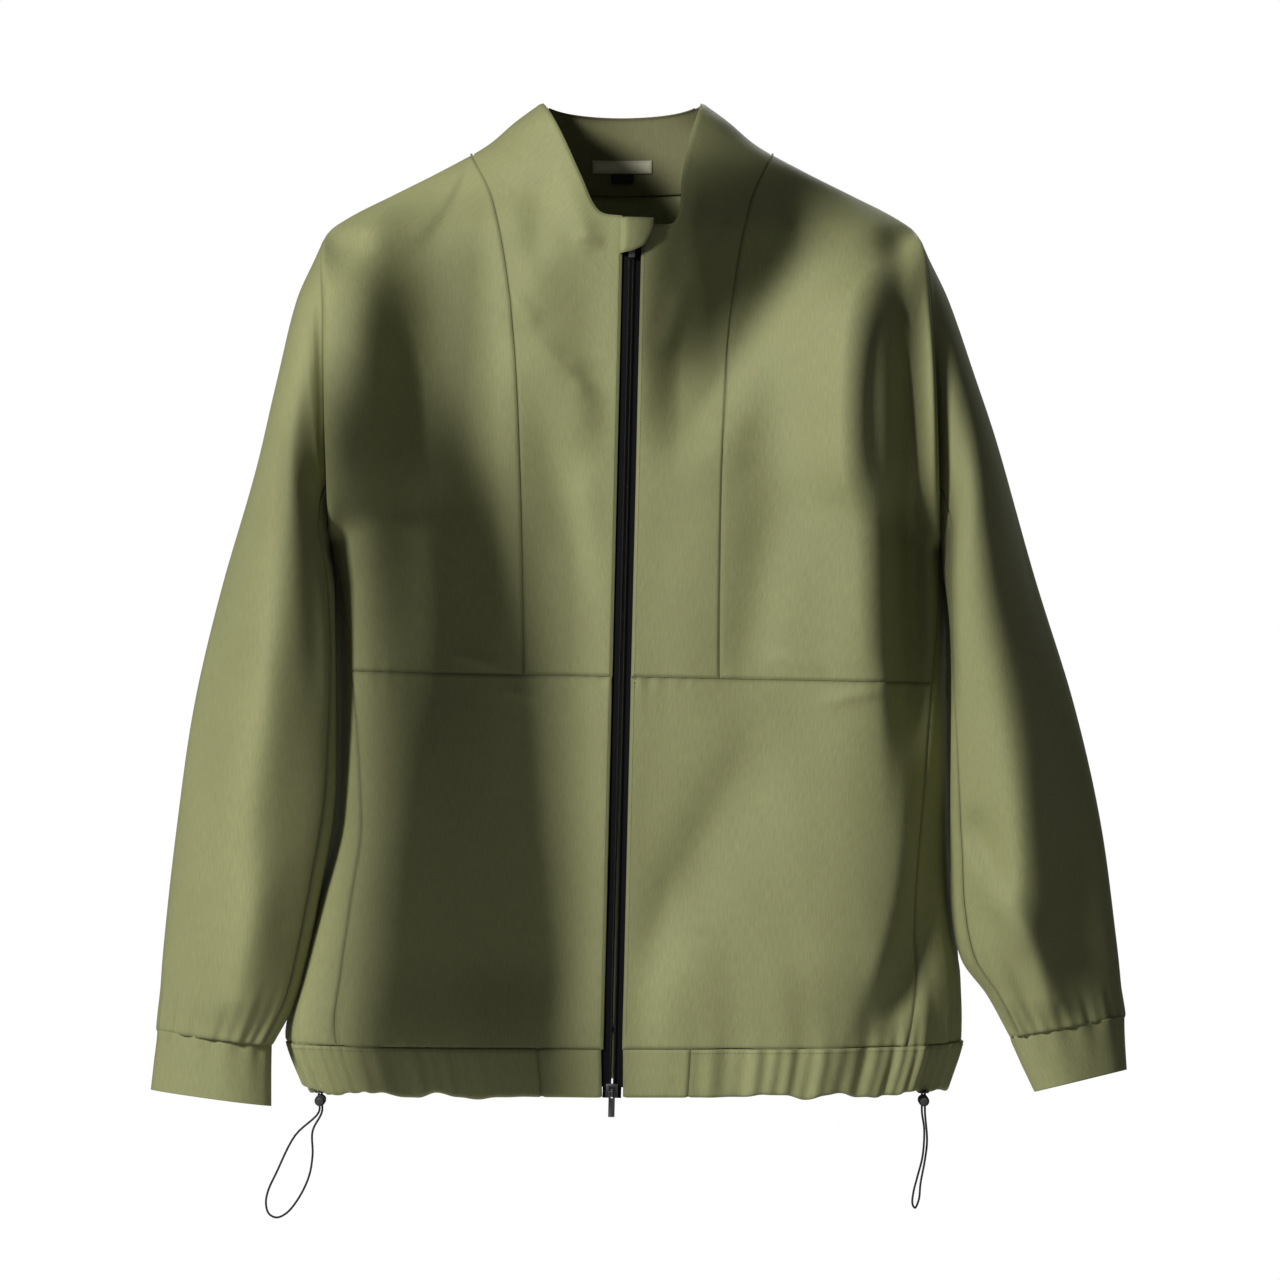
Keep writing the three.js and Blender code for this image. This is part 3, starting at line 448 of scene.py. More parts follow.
GATHERS = curve([
    (-180, 1.3), (-114, 1.8), (-96, 3.0), (-72, 3.2), (-54, 2.6), (-38, 2.0), (-22, 0.6), (-5, 0.1), (5, 0.1),
    (14, 1.3), (26, 2.4), (40, 1.9), (54, 2.6), (75, 3.0), (96, 2.8), (114, 1.8), (180, 1.3),
])


def gathers(angle, z):
    """The ruffles of the hem: waves round the body whose height follows GATHERS. They are highest in the
    casing and die away upwards in the skirt."""
    wave = np.sin(0.235 * angle + 0.8 * np.sin(0.11 * angle)) + 0.6 * np.sin(0.51 * angle + 1.3)
    wave = wave + 0.35 * np.sin(0.93 * angle + 0.5 + 0.02 * z)
    wave = wave + 0.3 * np.sin(1.75 * angle + 1.5 * np.sin(0.21 * angle)) * smoothstep(-z, 640, 672)
    fade = np.exp(-np.maximum(z - HEM_SEAM, 0) / 34) * np.where(z > HEM_SEAM, 0.75, 1)
    return GATHERS(angle) * wave * fade


def out_level(angle, z):
    """The level direction out of the body's outline."""
    along = body(angle + 0.4, z) - body(angle - 0.4, z)
    return unit(np.stack([along[..., 1], -along[..., 0], 0 * along[..., 0]], -1))


SIDE_BULGE = 19.0  # how far the sides swell out behind the sleeves
BULGE_ANGLE, BULGE_SPREAD = 108, 14


def draped(angle, z, depth=0.0):
    """The body's surface with its folds: folds move it straight forwards or back, gathers move it
    outwards, and depth moves it inwards for a lining or a facing."""
    p = body(angle, z)
    x = p[..., 0]
    front = np.abs(angle) <= 90
    facing = 1 - np.abs(np.sin(np.radians(angle))) ** 16
    hem = 1 - 0.75 * smoothstep(-z, -HEM_SEAM - 70, -HEM_SEAM + 10)
    collar = 1 - smoothstep(z, 0, 40)
    zip_side = smoothstep(np.abs(x - zip_x(z)), 6, 40)
    high = np.where(front, laid(FRONT_FOLDS, x, z) * zip_side, laid(BACK_FOLDS, x, z))
    move = (high * hem * collar + ripple(x, z)) * facing
    p[..., 1] += np.where(front, -1, 1) * move
    beside = np.exp(-(((np.abs(angle) - BULGE_ANGLE) / BULGE_SPREAD) ** 2))
    beside = beside * smoothstep(-z, 270, 302) * smoothstep(z, -650, -560)
    p[..., 0] += np.sign(angle) * SIDE_BULGE * beside
    return p + out_level(angle, z) * (gathers(angle, z) - depth)[..., None]


x, z = np.meshgrid(np.arange(-200, 200, 5.0), np.arange(-660, 0, 5.0))
print("largest fold", round(float(np.abs(laid(FRONT_FOLDS, x, z)).max()), 1), "mm")

# %% [markdown]
# ## The finishes
#
# Cloth is a weave of thin threads: close to, small bumps, with a faint unevenness of thread and dye; from further
# off, a matt colour with a soft sheen. The weave is drawn from each piece's UV map, which is laid out in metres,
# so that the threads keep their size. Near a seam the cloth gets painted shade: its colour is made a little
# darker, like the shade in the seam's groove.


# %% Node helpers
def material(name, colour, roughness, metallic=0.0):
    """A Principled material, with its node tree's links made through `wire`."""
    m = bpy.data.materials.new(name)
    m.use_nodes = True
    shader = m.node_tree.nodes["Principled BSDF"]
    shader.inputs["Base Color"].default_value = (*colour, 1)
    shader.inputs["Roughness"].default_value = roughness
    shader.inputs["Metallic"].default_value = metallic
    return m


def node(m, kind, settings=None, **inputs):
    """Adds a node, sets its properties from `settings` and its inputs from the keywords: a socket is
    linked, and anything else becomes the input's own value."""
    n = m.node_tree.nodes.new(kind)
    for key, value in (settings or {}).items():
        setattr(n, key, value)
    for key, value in inputs.items():
        name = key.replace("_", " ")
        socket = n.inputs[int(name[1:])] if name[0] == "i" and name[1:].isdigit() else n.inputs[name]
        if isinstance(value, bpy.types.NodeSocket):
            m.node_tree.links.new(value, socket)
        else:
            socket.default_value = value
    return n


def wire(m, socket, name):
    """Links a socket to an input of the material's shader."""
    m.node_tree.links.new(socket, m.node_tree.nodes["Principled BSDF"].inputs[name])


def product(m, a, b):
    """The product of two values."""
    return node(m, "ShaderNodeMath", {"operation": "MULTIPLY"}, i0=a, i1=b).outputs["Value"]


def noise(m, place, scale, detail, roughness=0.5):
    """The value of a noise texture at a place."""
    n = node(m, "ShaderNodeTexNoise", None, Vector=place, Scale=scale, Detail=detail, Roughness=roughness)
    return n.outputs["Fac"]


def ranged(m, value, low, high, first=0.0, last=1.0):
    """Carries a value from first..last over to low..high."""
    ends = {"From_Min": first, "From_Max": last, "To_Min": low, "To_Max": high}
    return node(m, "ShaderNodeMapRange", None, Value=value, **ends).outputs[0]


def threads(m, pitch, uv):
    """A plain weave: two crossed sets of waves, one thread each, multiplied."""
    scale = 2 * np.pi / (20 * pitch)
    warp = node(m, "ShaderNodeTexWave", {"bands_direction": "X"}, Vector=uv, Scale=scale, Distortion=0.6)
    weft = node(m, "ShaderNodeTexWave", {"bands_direction": "Y"}, Vector=uv, Scale=scale, Distortion=0.6)
    return product(m, warp.outputs["Fac"], weft.outputs["Fac"])


PAINTED_SEAM_DARKNESS = 0.72  # painted shade: how dark the cloth's colour is made right at a seam


def cloth(name, colour, roughness=0.62, pitch=0.0007, weave=0.35, sheen=0.16):
    """Woven cloth: thread bumps, slubs, a soft unevenness of colour, painted shade at the seams and sheen."""
    m = material(name, colour, roughness)
    shader = m.node_tree.nodes["Principled BSDF"]
    shader.inputs["Specular IOR Level"].default_value = 0.2
    shader.inputs["Sheen Weight"].default_value = sheen
    shader.inputs["Sheen Roughness"].default_value = 0.35
    shader.inputs["Sheen Tint"].default_value = (0.9, 0.92, 0.7, 1)
    uv = node(m, "ShaderNodeUVMap", {"uv_map": "cloth"}).outputs["UV"]
    place = node(m, "ShaderNodeTexCoord").outputs["Object"]
    weave_height = threads(m, pitch, uv)
    slub_place = node(m, "ShaderNodeMapping", None, Vector=uv, Scale=(1, 0.12, 1)).outputs["Vector"]
    slub = noise(m, slub_place, 900, 2)
    crumple = noise(m, place, 26, 5, 0.55)
    shade = ranged(m, noise(m, place, 7, 3), 0.93, 1.07, 0.3, 0.7)
    speck = ranged(m, slub, 0.92, 1.08, 0.3, 0.7)
    # painted shade: the seam attribute darkens the colour beside each seam, like the shade in its groove
    seam = node(m, "ShaderNodeAttribute", {"attribute_name": "seam"}).outputs["Fac"]
    tone = product(m, product(m, shade, speck), ranged(m, seam, 1.0, PAINTED_SEAM_DARKNESS))
    tint = node(m, "ShaderNodeVectorMath", {"operation": "SCALE"}, Scale=tone)
    tint.inputs[0].default_value = colour
    wire(m, tint.outputs["Vector"], "Base Color")
    wire(m, ranged(m, slub, roughness - 0.08, roughness + 0.1), "Roughness")
    soft = node(m, "ShaderNodeBump", None, Height=crumple, Strength=0.35, Distance=0.002)
    fine = node(m, "ShaderNodeBump", None, Height=weave_height, Strength=weave, Distance=0.0002,
                Normal=soft.outputs["Normal"])
    wire(m, fine.outputs["Normal"], "Normal")
    return m


RUBBED = (0.5, 0.5, 0.5, 1)


def moulded(name, colour, roughness, metallic=0.0, grain=900.0, wear=0.15, shine=0.5):
    """Hard parts: a fine grain in the surface and edges rubbed a little lighter."""
    m = material(name, colour, roughness, metallic)
    m.node_tree.nodes["Principled BSDF"].inputs["Specular IOR Level"].default_value = shine
    place = node(m, "ShaderNodeTexCoord").outputs["Object"]
    grains = noise(m, place, grain, 3)
    wire(m, ranged(m, grains, roughness - 0.08, roughness + 0.12), "Roughness")
    edge = node(m, "ShaderNodeNewGeometry").outputs["Pointiness"]
    worn = node(m, "ShaderNodeMix", {"data_type": "RGBA"}, Factor=ranged(m, edge, 0.0, wear, 0.5, 0.62))
    worn.inputs[6].default_value = (*colour, 1)
    worn.inputs[7].default_value = RUBBED
    wire(m, worn.outputs[2], "Base Color")
    bump = node(m, "ShaderNodeBump", None, Height=grains, Strength=0.15, Distance=0.0001)
    wire(m, bump.outputs["Normal"], "Normal")
    return m


# %% The jacket's finishes
olive = cloth("olive_cloth", (0.245, 0.251, 0.115))
# painted shade: the facings and the neck lining are the same olive cloth, coloured darker for the shade inside the
# jacket, and a little rougher with less sheen
olive_shaded_inside = cloth("olive_facing_painted_shade", (0.15, 0.147, 0.07), roughness=0.75, sheen=0.1)
pocketing = cloth("pocketing", (0.14, 0.137, 0.066), roughness=0.8, pitch=0.0009, sheen=0.1)
label_cloth = cloth("label_ribbon", (0.6, 0.58, 0.42), roughness=0.6, pitch=0.0006, weave=0.6, sheen=0.3)
black_ribbon = cloth("black_ribbon", (0.02, 0.02, 0.022), roughness=0.7, pitch=0.0011, weave=0.7, sheen=0.1)
braid = cloth("braided_cord", (0.02, 0.02, 0.022), roughness=0.65, pitch=0.0008, weave=1.0, sheen=0.15)
coil_black = moulded("coil_black", (0.006, 0.006, 0.007), 0.3, wear=0, shine=0.3)
tape_black = moulded("zip_tape_weave", (0.005, 0.005, 0.006), 0.8, wear=0, shine=0.1)
stitch_thread = moulded("stitch_thread", (0.17, 0.17, 0.078), 0.55, wear=0.02)
metal_black = moulded("metal_black", (0.03, 0.031, 0.035), 0.34, metallic=0.85, wear=0.5)
lock_black = moulded("lock_black", (0.015, 0.015, 0.017), 0.42)
spring_steel = moulded("spring_steel", (0.5, 0.5, 0.5), 0.3, metallic=1.0)
print(len(bpy.data.materials), "materials")

# %% [markdown]
# ## Cutting a piece of cloth
#
# A cut piece is a grid of points. Its rows and columns crowd together at the edges, where the cloth turns in at a
# seam: the last two millimetres sink below the surface, so that two pieces that meet form a groove. The grid gets
# its thickness from a Solidify modifier. The size each piece was cut to is printed.

# %% Piece of cloth
THICKNESS = 0.8
SEAM_GROOVE, PAINTED_SEAM_WIDTH = 1.5, 2.2  # how far from its edge a piece sinks, and how far its painted seam shade reaches
FAR_FROM_SEAM = 99.0


def crowded(count, squeeze=0.8):
    """Places from 0 to 1 that crowd together at both ends."""
    t = np.linspace(0, 1, count)
    return t - squeeze * np.sin(2 * np.pi * t) / (2 * np.pi)


def grid(width, height, pitch=3.2, squeeze=0.8):
    """Parameters u across and v down, for a piece about that wide and high."""
    u = crowded(max(int(width / pitch), 8), squeeze)
    v = crowded(max(int(height / pitch), 8), squeeze)
    return np.meshgrid(u, v)


def measured(points):
    """Running lengths of a grid along its rows and down its columns, in millimetres."""
    along = np.linalg.norm(np.diff(points, axis=1), axis=2)
    down = np.linalg.norm(np.diff(points, axis=0), axis=2)
    x = np.pad(np.cumsum(along, axis=1), ((0, 0), (1, 0)))
    z = np.pad(np.cumsum(down, axis=0), ((1, 0), (0, 0)))
    return x, z


def cut_area(points):
    """The area of a grid, as the sum of its faces, in square metres."""
    a = points[1:, 1:] - points[:-1, :-1]
    b = points[1:, :-1] - points[:-1, 1:]
    return float(np.linalg.norm(np.cross(a, b), axis=-1).sum() / 2 * MM * MM)


def sew(name, points, outline, core, stands_for, slot, finish, body_name="jacket", sink=0.9, closed=False,
        turned="uv", thickness=THICKNESS):
    """Makes a piece of cloth from a grid. `outline` is the same grid without folds, from which its cut
    size is taken; `core` is a point inside, from which its outer face looks away."""
    x, z = measured(points)
    near = np.full(x.shape, FAR_FROM_SEAM)
    if "u" in turned and not closed:
        near = np.minimum(near, np.minimum(x, x[:, -1:] - x))
    if "v" in turned:
        near = np.minimum(near, np.minimum(z, z[-1:] - z))
    normals = grid_normals(points, closed)
    away = points - np.asarray(core, float)
    facing = np.sign((normals * away).sum())
    points = points - facing * normals * (sink * np.exp(-((near / SEAM_GROOVE) ** 2)))[..., None]
    uv = np.stack([x - x[:, x.shape[1] // 2][:, None], z], -1) * MM
    # how much painted shade each point gets, falling off away from the seam
    seam = np.exp(-((near / PAINTED_SEAM_WIDTH) ** 2))
    quads = grid_quads(*x.shape, closed=closed)
    quads = quads if facing > 0 else quads[:, ::-1]
    obj = new_mesh(name, points, quads, uv, seam)
    wall = obj.modifiers.new("thickness", "SOLIDIFY")
    wall.thickness = thickness * MM
    wall.offset = -1
    obj.data.materials.append(finish)
    flat_x, flat_z = measured(outline)
    flat = (float(flat_x[:, -1].max() * MM), float(flat_z[-1].max() * MM))
    area = min(cut_area(outline), flat[0] * flat[1])
    belongs(obj, body_name, slot, *stands_for)
    print(f"{name}: cut {flat[0] * 1000:.0f} x {flat[1] * 1000:.0f} mm, {area * 1e4:.0f} cm2")
    return obj, flat, area


CORE = (0, 0, -300)
NECK_CORE = (0, 0, -120)
COLLAR_CORE = (0, 0, 20)


def panel(name, node_name, angle, z, core=CORE, slot="shell_cloth", finish=olive, depth=0.0,
          thickness=THICKNESS, **facts):
    """Sews a piece that follows the body's surface, `depth` millimetres inside it."""
    sew(name, draped(angle, z, depth), body(angle, z), core, [node_name], slot, finish,
                thickness=thickness)


# %% [markdown]
# ## The front
#
# Each front is a neck piece beside the zip, cut in one with the collar's front, a chest piece out to the
# armhole, a skirt below the waist seam and a side panel behind the pocket seam. The neck piece has four
# curved edges: the zip edge, the neck edge, the collar's ridge with the princess seam, and the waist
# seam. Its inside is blended from them, as a Coons patch: straight lines across, plus straight lines
# down, minus the corners' own blend.

# %% Front neck pieces
NECK_EDGES = {
    "left": [
        (1, 15.2, -49), (0.86, 27, -51.5), (0.72, 39, -50), (0.62, 44, -40), (0.45, 45.5, -16), (0.25, 51, 12),
        (0.1, 57, 33), (0, 60.5, 47.2),
    ],
    "right": [
        (1, 1.2, -45.5), (0.8, -17, -41), (0.55, -30, -15), (0.3, -43, 14), (0.12, -53, 34), (0, -60.5, 47.2),
    ],
}


def neck_edge(side):
    """The neck edge from the zip, at 0, to the collar's ridge, at 1."""
    x = curve([(1 - t, px) for t, px, _ in NECK_EDGES[side]])
    z = curve([(1 - t, pz) for t, _, pz in NECK_EDGES[side]])
    return lambda u: np.stack([x(u), z(u)], -1)


def princess_edge(side, v):
    """The outer edge: down the collar's ridge on the shoulder, then down the princess seam."""
    z = mix(COLLAR_TOP - 0.4, WAIST_SEAM, v)
    width = half_width(z, SIGN[side])
    on_ridge = width * np.sin(np.radians(RIDGE))
    on_seam = np.minimum(princess_x(z), width - 0.2)
    return np.stack([SIGN[side] * np.where(z > PRINCESS_TOP, on_ridge, on_seam), z], -1)


def neck_patch(side, u, v):
    """The Coons patch of the four edges, in the front view: u from the zip outwards, v from the neck
    down. The neck edge's last point is drawn onto the ridge, so that the two edges share their corner."""
    loose_edge = neck_edge(side)
    off_corner = princess_edge(side, 0.0) - loose_edge(1.0)

    def edge(t):
        return loose_edge(t) + off_corner * t[..., None] ** 8

    def zip_edge(t):
        z = mix(NECK_EDGES[side][0][2], WAIST_SEAM, t)
        line = np.stack([zip_x(z) + SIGN[side] * ZIP_HALF, z], -1)
        return mix(edge(np.zeros_like(t)), line, smoothstep(t, 0, 0.05)[..., None])

    first, last = np.zeros_like(u), np.ones_like(u)
    bottom = mix(zip_edge(last), princess_edge(side, last), u[..., None])
    across = mix(zip_edge(v), princess_edge(side, v), u[..., None])
    down = mix(edge(u), bottom, v[..., None])
    top_corners = mix(edge(first), princess_edge(side, first), u[..., None])
    corners = mix(top_corners, bottom, v[..., None])
    at = across + down - corners
    return angle_at(at[..., 0], at[..., 1]), at[..., 1]


for side in ("right", "left"):
    angle, z = neck_patch(side, *grid(150, 430, 3.0))
    panel(f"{side}_neck_piece", f"{side}_front_neck", angle, z, NECK_CORE)

# %% [markdown]
# The chest, the skirt and the side panel are patches between two seams, whose places change with the
# height. The seams' puckers come from the thread, which draws the cloth in: short low waves that die away
# from the seam.

# %% Chest, skirt and side panels
def below_armhole(z):
    """0 beside the armhole and 1 below it."""
    return smoothstep(-z, -ARMPIT - 8, -ARMPIT + 2)


def chest_side(side):
    """The chest's outer edge: the armhole, then the pocket seam below the armpit."""
    def at(z):
        return SIGN[side] * mix(RIDGE, pocket_angle(z), below_armhole(z))
    return at


def pucker(points, angle, z, line, strength=0.7, spread=9.0, pitch=13.0):
    """Small waves along a level seam at height `line`, fading over `spread` mm."""
    wave = np.sin(2 * np.pi * points[..., 0] / pitch + 1.2 * np.sin(points[..., 0] / 23))
    wave = wave * (0.6 + 0.4 * np.sin(points[..., 0] / 31 + 1))
    low = strength * wave * np.exp(-np.abs(z - line) / spread)
    return points + out_level(angle, z) * low[..., None]


def front_patch(name, top, bottom, first, second, width, stands_for, under=0.0):
    """A patch of the body whose rows run from one seam's angle to the other's, with puckers at the waist
    seam. Above the armpit it lies `under` millimetres below the surface."""
    u, v = grid(width, top - bottom)
    z = mix(top, bottom, v)
    angle = mix(first(z), second(z), u)
    depth = under * smoothstep(z, ARMPIT - 3, ARMPIT + 4)
    points = pucker(draped(angle, z, depth), angle, z, WAIST_SEAM)
    sew(name, points, body(angle, z), CORE, [stands_for], "shell_cloth", olive)


for side in ("right", "left"):
    sign = SIGN[side]
    front_patch(f"{side}_chest", CHEST_TOP, WAIST_SEAM, lambda z: angle_at(sign * princess_x(z), z),
                chest_side(side), 170, f"{side}_front_chest")
    front_patch(f"{side}_skirt", WAIST_SEAM, HEM_SEAM, lambda z: angle_at(zip_x(z) + sign * ZIP_HALF, z),
                lambda z: sign * pocket_angle(z), 240, f"{side}_front_skirt")
    front_patch(f"{side}_side", ARMPIT + 9, HEM_SEAM, lambda z: sign * pocket_angle(z),
                lambda z: sign * SIDE_SEAM, 120, f"{side}_side_panel", under=1.2)

# %% [markdown]
# ## The back
#
# The back is one wide piece from the neck seam to the hem, with the back of the collar standing on it.
# Its top row follows the neck seam in the middle and the shoulder line at the sides.

# %% Back pieces
NECK_REACH = 104  # how far the neck seam reaches to each side
YOKE_LOW = -30.0  # above this height the rows bend to follow the neck seam
u, v = grid(560, 690, 3.6, 0.7)
u = 2 * u - 1
row = mix(CHEST_TOP, HEM_SEAM, v)
edge = mix(180 - RIDGE, SIDE_SEAM, below_armhole(row))
side_sign = np.where(u < 0, -1, 1)
angle = side_sign * mix(180.0, edge, np.abs(u))
reach = np.abs(body(angle, row)[..., 0])
top = np.where(reach < NECK_REACH, np.minimum(neck_seam(reach), CHEST_TOP), CHEST_TOP)
yoke = mix(top, YOKE_LOW, (CHEST_TOP - row) / (CHEST_TOP - YOKE_LOW))
height = np.where(row > YOKE_LOW, yoke, row)
panel("back", "back_panel", angle, height, rests_on=["back_collar_piece"])

COLLAR_REACH = 112


def collar_patch(u, v, tuck):
    """The back of the collar: it dips a little in the middle, and ends in the ridge over each shoulder.
    It reaches `tuck` millimetres below the neck seam."""
    top = COLLAR_TOP - 0.4 - 5 * (1 - u * u)
    z = mix(top, neck_seam(np.abs(u) * COLLAR_REACH) - tuck * (1 - u**6), v)
    turn = 180 - np.degrees(np.arcsin(np.abs(u) * np.sin(np.radians(RIDGE))))
    return np.where(u < 0, -1, 1) * turn, z


u, v = grid(200, 55, 2.4)
angle, z = collar_patch(2 * u - 1, v, 3.0)
tucked = 0.9 * smoothstep(v, 0.88, 0.97)
panel("back_collar_piece", "back_collar", angle, z, COLLAR_CORE, depth=tucked)

# %% [markdown]
# ## Inside the jacket
#
# Through the neck the back facing shows, with a blank woven label and a small folded size tag. Facings
# back the zip, and a flat pocket bag hangs behind each skirt. They follow the same folds, a few
# millimetres further in.

# %% Facings, pocket bags and labels
LINING = 0.7
FACING_EDGES = (13.5, 48)  # from the zip's middle
FACING_DEPTH, POCKET_DEPTH = 3.6, 5.4
POCKET_TOP, POCKET_BOTTOM = WAIST_SEAM - 14, -600.0

angle, z = collar_patch((2 * u - 1) * 0.94, v, 9.0)
panel("neck_lining", "neck_facing", angle, z, COLLAR_CORE, "inside_cloth", olive_shaded_inside, 2.0, LINING,
      rests_on=["back_collar_piece"])

for side in ("right", "left"):
    sign = SIGN[side]
    u, v = grid(35, 600, 4.0)
    z = mix(-62.0, HEM_SEAM + 2, v)
    near, far = (angle_at(zip_x(z) + sign * reach, z) for reach in FACING_EDGES)
    angle = mix(near, far, u)
    panel(f"{side}_zip_facing", f"{side}_front_facing", angle, z, CORE, "inside_cloth", olive_shaded_inside,
          FACING_DEPTH, LINING, rests_on=[f"{side}_zip_tape"])
    u, v = grid(190, 200, 5.0)
    z = mix(POCKET_TOP, POCKET_BOTTOM, v)
    angle = mix(sign * 15.0, sign * (pocket_angle(z) - 4), u)
    panel(f"{side}_pocket", f"{side}_pocket_bag", angle, z, CORE, "pocket_cloth", pocketing,
          POCKET_DEPTH, LINING, rests_on=[f"{side}_skirt"])


TAG_FOLD = 1.2  # how far the folded ribbon's second half lies behind its first


def tag(name, node_name, half, low, high, finish, bulge, folded=False):
    """A small woven ribbon on the back facing, a little bowed between its stitched ends. A folded one
    runs down, turns, and runs up again behind itself."""
    u, v = grid(2 * half, (high - low) * (2 if folded else 1), 0.9, 0.5)
    x = (2 * u - 1) * half
    z = mix(high, low, 1 - np.abs(2 * v - 1) if folded else v)
    angle = np.where(x < 0, -1, 1) * (180 - np.abs(angle_at(x, z)))
    lift = bulge * (1 - (2 * u - 1) ** 4) + (TAG_FOLD * smoothstep(-v, -0.56, -0.44) if folded else 0)
    points = draped(angle, z, FACING_DEPTH) - out_level(angle, z) * lift[..., None]
    return sew(name, points, body(angle, z), (0, 300, 0), [node_name], "label_cloth", finish, sink=0.1,
               thickness=0.45)


tag("blank_label", "neck_label", 23.7, -1.0, 9.0, label_cloth, 0.7)
tag("folded_size_tag", "size_tag", 9.0, -9.0, -1.8, black_ribbon, 0.5, folded=True)

# %% [markdown]
# ## The hem
#
# The hem is a casing: a band of cloth folded double round an elastic drawcord, which gathers it. Its
# section runs down the outer wall, round the fold and up the inner wall. The ruffles push that whole
# section in and out.

# %% Hem casings
HEM_TABS = {"left": 52.0, "right": -62.7}
CHANNEL = 4.4  # the casing's room for its drawcord
HEM_PITCH = 0.42  # degrees from one column of the grid to the next


def casing(angle, v):
    """The folded section, at each angle: down the outside, round a half circle and up the inside."""
    radius = CHANNEL / 2 + 0.7
    wall = HEM_SEAM - HEM_BOTTOM - radius
    down = HEM_SEAM - np.clip(v / 0.45, 0, 1) * wall
    turn = np.clip((v - 0.45) / 0.1, 0, 1) * np.pi
    fold_low = HEM_BOTTOM + radius - radius * np.sin(turn)
    up = mix(HEM_BOTTOM + radius, HEM_SEAM, np.clip((v - 0.55) / 0.45, 0, 1))
    z = np.where(v < 0.45, down, np.where(v < 0.55, fold_low, up))
    depth = np.where(v < 0.45, 0, radius * (1 - np.cos(turn)))
    sag = 2.0 * np.sin(0.33 * angle + 1.1 * np.sin(0.17 * angle)) + 0.5 * np.sin(1.05 * angle + 0.6)
    z = z + sag * smoothstep(-z, 672, 705) * smoothstep(np.abs(angle), 12, 30)
    flat = np.maximum(z, HEM_BOTTOM)
    return draped(angle, flat, depth) * (1, 1, 0) + np.stack([0 * z, 0 * z, z], -1)


def hem_piece(name, node_name, first, last):
    """One length of the casing between two angles."""
    u = crowded(max(int(abs(last - first) / HEM_PITCH), 12), 0.7)
    v = np.concatenate([np.linspace(0, 0.45, 15), np.linspace(0.462, 0.55, 8), np.linspace(0.58, 1, 10)])
    angle, v = np.meshgrid(mix(first, last, u), v)
    angle = signed(angle)
    points = casing(angle, v)
    made = sew(name, points, points, (0, 0, -690), [node_name], "shell_cloth", olive, turned="u", sink=0.7)


hem_angle = {side: float(angle_at(HEM_TABS[side], HEM_SEAM)) for side in HEM_TABS}
hem_middle = (HEM_SEAM + HEM_BOTTOM) / 2
for side in ("right", "left"):
    sign = SIGN[side]
    zip_side = float(angle_at(zip_x(hem_middle) + sign * (ZIP_HALF + 1), hem_middle))
    hem_piece(f"hem_tab_{side}_piece", f"hem_tab_{side}", zip_side, hem_angle[side])
    hem_piece(f"hem_{side}", f"hem_band_{side}", hem_angle[side], sign * SIDE_SEAM)
hem_piece("hem_back", "hem_band_back", SIDE_SEAM, 360 - SIDE_SEAM)

# %% [markdown]
# ## The sleeves
#
# A sleeve is a tube of two pieces that fans out from the upright armhole to the level wrist. Its rings are slanted
# ellipses. Each is set by where its outer and inner edge are in the front view, and by its depth. Raising the arm
# turns the whole sleeve in the frame.

# %% Sleeve rings
RING_OUTER = [-54.5, -72, -105, -150, -205, -265, -330, -395, -460, -525, -590, -630]
RING_INNER = [-290, -291.5, -295, -301, -312, -335, -375, -425, -480, -540, -600, -637]
SLEEVE = {
    "right": {
        "outer": curve([
            (-54.5, 227), (-69, 233), (-103, 248), (-164, 263), (-226, 279), (-317, 306), (-409, 327), (-501, 340),
            (-593, 350), (-662, 355),
        ]),
        "inner": curve([
            (-290, 222.5), (-335, 217.5), (-467, 216.5), (-501, 219), (-547, 227), (-594, 236), (-637, 247),
            (-672, 266),
        ]),
        "wrist": (-662.2, -672),
        "cuff": [(-662.8, 355, -672.6, 267), (-684, 358, -695, 267), (-706, 360.3, -717.6, 267)],
    },
    "left": {
        "outer": curve([
            (-54.5, 227), (-69, 233), (-103, 249), (-164, 270), (-226, 292), (-317, 319), (-409, 346), (-501, 366),
            (-593, 378), (-651, 384),
        ]),
        "inner": curve([
            (-290, 242.6), (-371, 248), (-524, 249), (-570, 250), (-607, 258), (-633, 277), (-667, 296),
        ]),
        "wrist": (-651.5, -666.5),
        "cuff": [(-652.1, 384, -667.1, 296), (-671, 385, -686, 304), (-690.8, 386.3, -707, 314)],
    },
}
sleeve_depth = curve([(0, 75), (3, 75), (6, 64), (9, 50), (12, 36)])
SLEEVE_TURN, SLEEVE_FORWARD = np.radians(26), 16.0


def ring(sign, zo, xo, zi, xi, depth, settled, t):
    """Points of a slanted ring at turns t: 0 is the outer edge, 90 the front, 180 the inner edge. The
    front end is turned towards the body as the sleeve settles forwards."""
    turn = SLEEVE_TURN * settled
    extent = (xo - xi) / 2
    across = np.sign(extent) * np.sqrt(np.maximum(extent**2 - (depth * np.sin(turn)) ** 2, 0))
    c, s = np.cos(np.radians(t)), np.sin(np.radians(t))
    x = sign * (xo + xi) / 2 + sign * (across * c - depth * np.sin(turn) * s)
    y = -SLEEVE_FORWARD * settled - depth * np.cos(turn) * s
    z = (zo + zi) / 2 + (zo - zi) / 2 * c
    return np.stack([x, y, z], -1)


def sleeve_ring(side, j, t):
    """The sleeve's ring number j, whole or between two, at turns t."""
    spec = SLEEVE[side]
    zo = np.interp(j, np.arange(13), RING_OUTER + [spec["wrist"][0]])
    zi = np.interp(j, np.arange(13), RING_INNER + [spec["wrist"][1]])
    settled = smoothstep(j, 3, 7)
    return ring(SIGN[side], zo, spec["outer"](zo), zi, spec["inner"](zi), sleeve_depth(j), settled, t)


